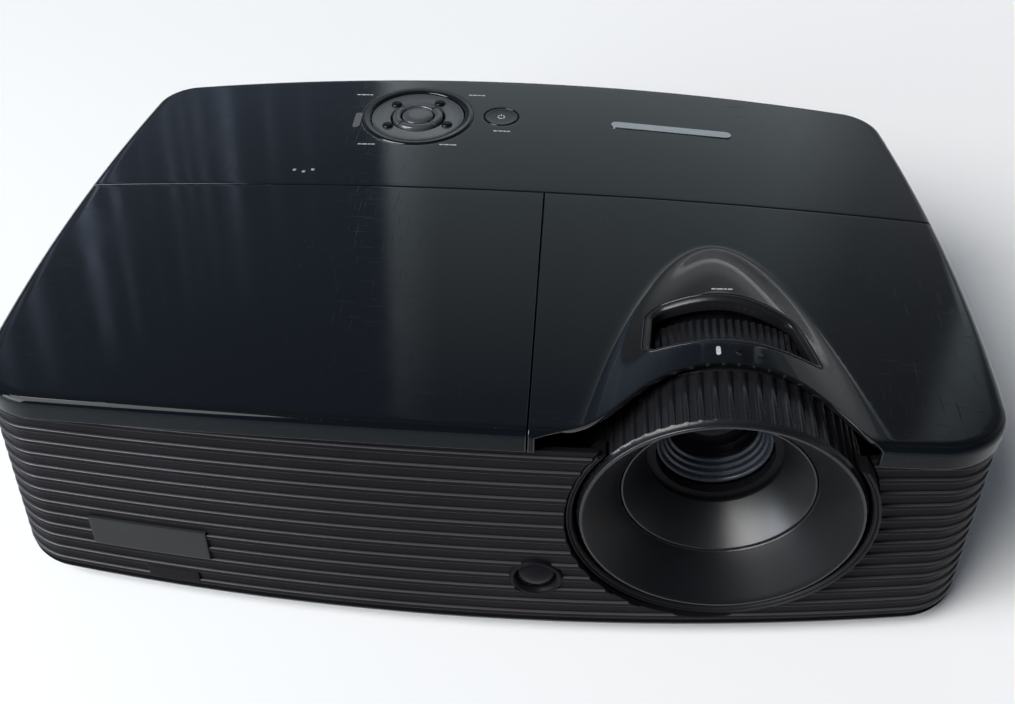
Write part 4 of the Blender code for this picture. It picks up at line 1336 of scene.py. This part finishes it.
# The floor's flat rings, its reach, and the curve and height of the low wall round it.
FLOOR_RINGS = (300, 800, 1500, 2200)
FLOOR_REACH = 3000
SWEEP = 700
WALL_HEIGHT = 1250

CAMERA_AT = (0.02066, -0.34227, 0.35696)
CAMERA_TURN = (46.169, -0.083, 4.205)
CAMERA_LENS = 44.573
CAMERA_SHIFT = (0.01838, -0.00106)


def make_stage():
    """A round floor that sweeps up into a low wall all round."""
    form = bmesh.new()
    section = [(r, 0) for r in FLOOR_RINGS]
    for k in range(13):
        angle = radians(90 * k / 12)
        section.append((FLOOR_REACH + SWEEP * sin(angle), SWEEP * (1 - cos(angle))))
    section.append((FLOOR_REACH + SWEEP, WALL_HEIGHT))
    rows = [[(*spot, z) for spot in circle_loop(0, 0, r, 96)] for r, z in section]
    form.faces.new(grid(form, rows, closed=True)[0])
    floor = thing_of("studio_floor", form, 180)
    look = Look("studio_paper")
    near = look.mix(look.noise(3.0), (0.92, 0.92, 0.92), (0.94, 0.94, 0.94))
    # Painted shade: the paper turns from near white to dark grey away from the middle, as if the far
    # floor and wall lay in shade.
    distance = look.node("VectorMath", "Value", {0: look.place}, operation="LENGTH")
    far = look.spread(distance, 0.7, 2.6)
    look.set(Base_Color=look.mix(far, near, (0.32, 0.33, 0.34)), Roughness=0.9,
             Specular_IOR_Level=0.1)
    floor.data.materials.append(look.material)


def add_light(name, kind, at, aim, energy, **settings):
    data = bpy.data.lights.new(name, kind)
    data.energy = energy
    for key, value in settings.items():
        setattr(data, key, value)
    lamp = placed(name, data)
    lamp.location = at
    lamp.rotation_euler = (Vector(aim) - Vector(at)).to_track_quat("-Z", "Y").to_euler()


def make_lights():
    add_light("soft_top_light", "SUN", (-0.65, -0.42, 0.72), (0, 0, 0), 3.6, angle=radians(40))
    add_light("window_light", "AREA", (-0.75, -0.44, 0.24), (-0.05, 0, 0.05), 4.5,
              color=(0.86, 0.93, 1.0), shape="RECTANGLE", size=0.35, size_y=0.3)


def make_world():
    """A dim room that the gloss reflects. By height and by side: pale windows low behind,
    dark and bluish with faint curtain folds to the left, dim in front."""
    world = bpy.data.worlds.new("studio")
    sky = Nodes(world)
    coords = sky.tree.nodes.new("ShaderNodeTexCoord")
    parts = sky.node("SeparateXYZ", "X", {0: coords.outputs["Generated"]}).node.outputs
    height = parts["Z"]
    side = sky.math(parts["X"], sky.math(parts["Y"], 0.05, "MAXIMUM"), "DIVIDE")
    place = sky.math(sky.times(side, 0.5), 0.5)

    def tinted(a, b):
        return sky.mix(1.0, a, b, "MULTIPLY")

    by_height = sky.ramp(
        height, (0.25, (0.62, 0.70, 0.72)), (0.40, (0.74, 0.84, 0.90)), (0.45, (0.50, 0.58, 0.63)),
        (0.50, (0.34, 0.41, 0.44)), (0.56, (0.26, 0.29, 0.32)), (0.63, (0.09, 0.12, 0.16)),
        (0.85, (0.05, 0.06, 0.08)),
    )
    right = sky.ramp(
        place, (0.413, 1.6), (0.435, 0.95), (0.63, 1), (0.675, (0.50, 0.48, 0.50)),
        (0.74, (0.30, 0.28, 0.32)), (0.752, 1.5), (0.775, 0.9), (0.79, (0.25, 0.25, 0.28)),
    )
    left = sky.ramp(
        height, (0.36, (0.20, 0.25, 0.34)), (0.46, (0.105, 0.14, 0.20)),
        (0.62, (0.07, 0.10, 0.155)), (0.85, (0.05, 0.06, 0.08)),
    )
    folds = sky.node("TexNoise", "Fac", {"W": side, "Scale": 34.0, "Detail": 2.0},
                     noise_dimensions="1D")
    far_left = sky.ramp(place, (0.22, 1), (0.30, 0.6), (0.37, 0))
    low = sky.ramp(height, (0.42, 1), (0.54, 0))
    veil = tinted(tinted(sky.ramp(folds, (0.5, 0), (0.68, 1)), far_left), low)
    left = sky.mix(1.0, left, tinted(veil, (0.6, 0.7, 0.92)), "ADD")
    edge = sky.ramp(place, (0.403, 0), (0.410, 1))
    behind = sky.mix(edge, left, tinted(by_height, right))
    facing = sky.ramp(parts["Y"], (0.02, 0), (0.12, 1))
    colour = sky.mix(facing, (0.075, 0.085, 0.10), behind)
    sky.link(colour, sky.tree.nodes["Background"].inputs["Color"])
    bpy.context.scene.world = world
    bpy.context.scene.view_settings.view_transform = "Standard"


def make_camera():
    data = bpy.data.cameras.new("camera")
    data.sensor_width = 36.0
    data.lens = CAMERA_LENS
    data.shift_x, data.shift_y = CAMERA_SHIFT
    data.clip_start = 0.01
    camera = placed("camera", data)
    camera.location = CAMERA_AT
    camera.rotation_euler = [radians(a) for a in CAMERA_TURN]
    bpy.context.scene.camera = camera


finish_cad_nodes()
make_top_covers()
make_front_panel()
make_base_shell()
make_feet()
make_lens()
make_window_frame()
make_keypad()
make_top_trim()
make_hump_marks()
make_front_trim()
make_stage()
make_lights()
make_world()
make_camera()
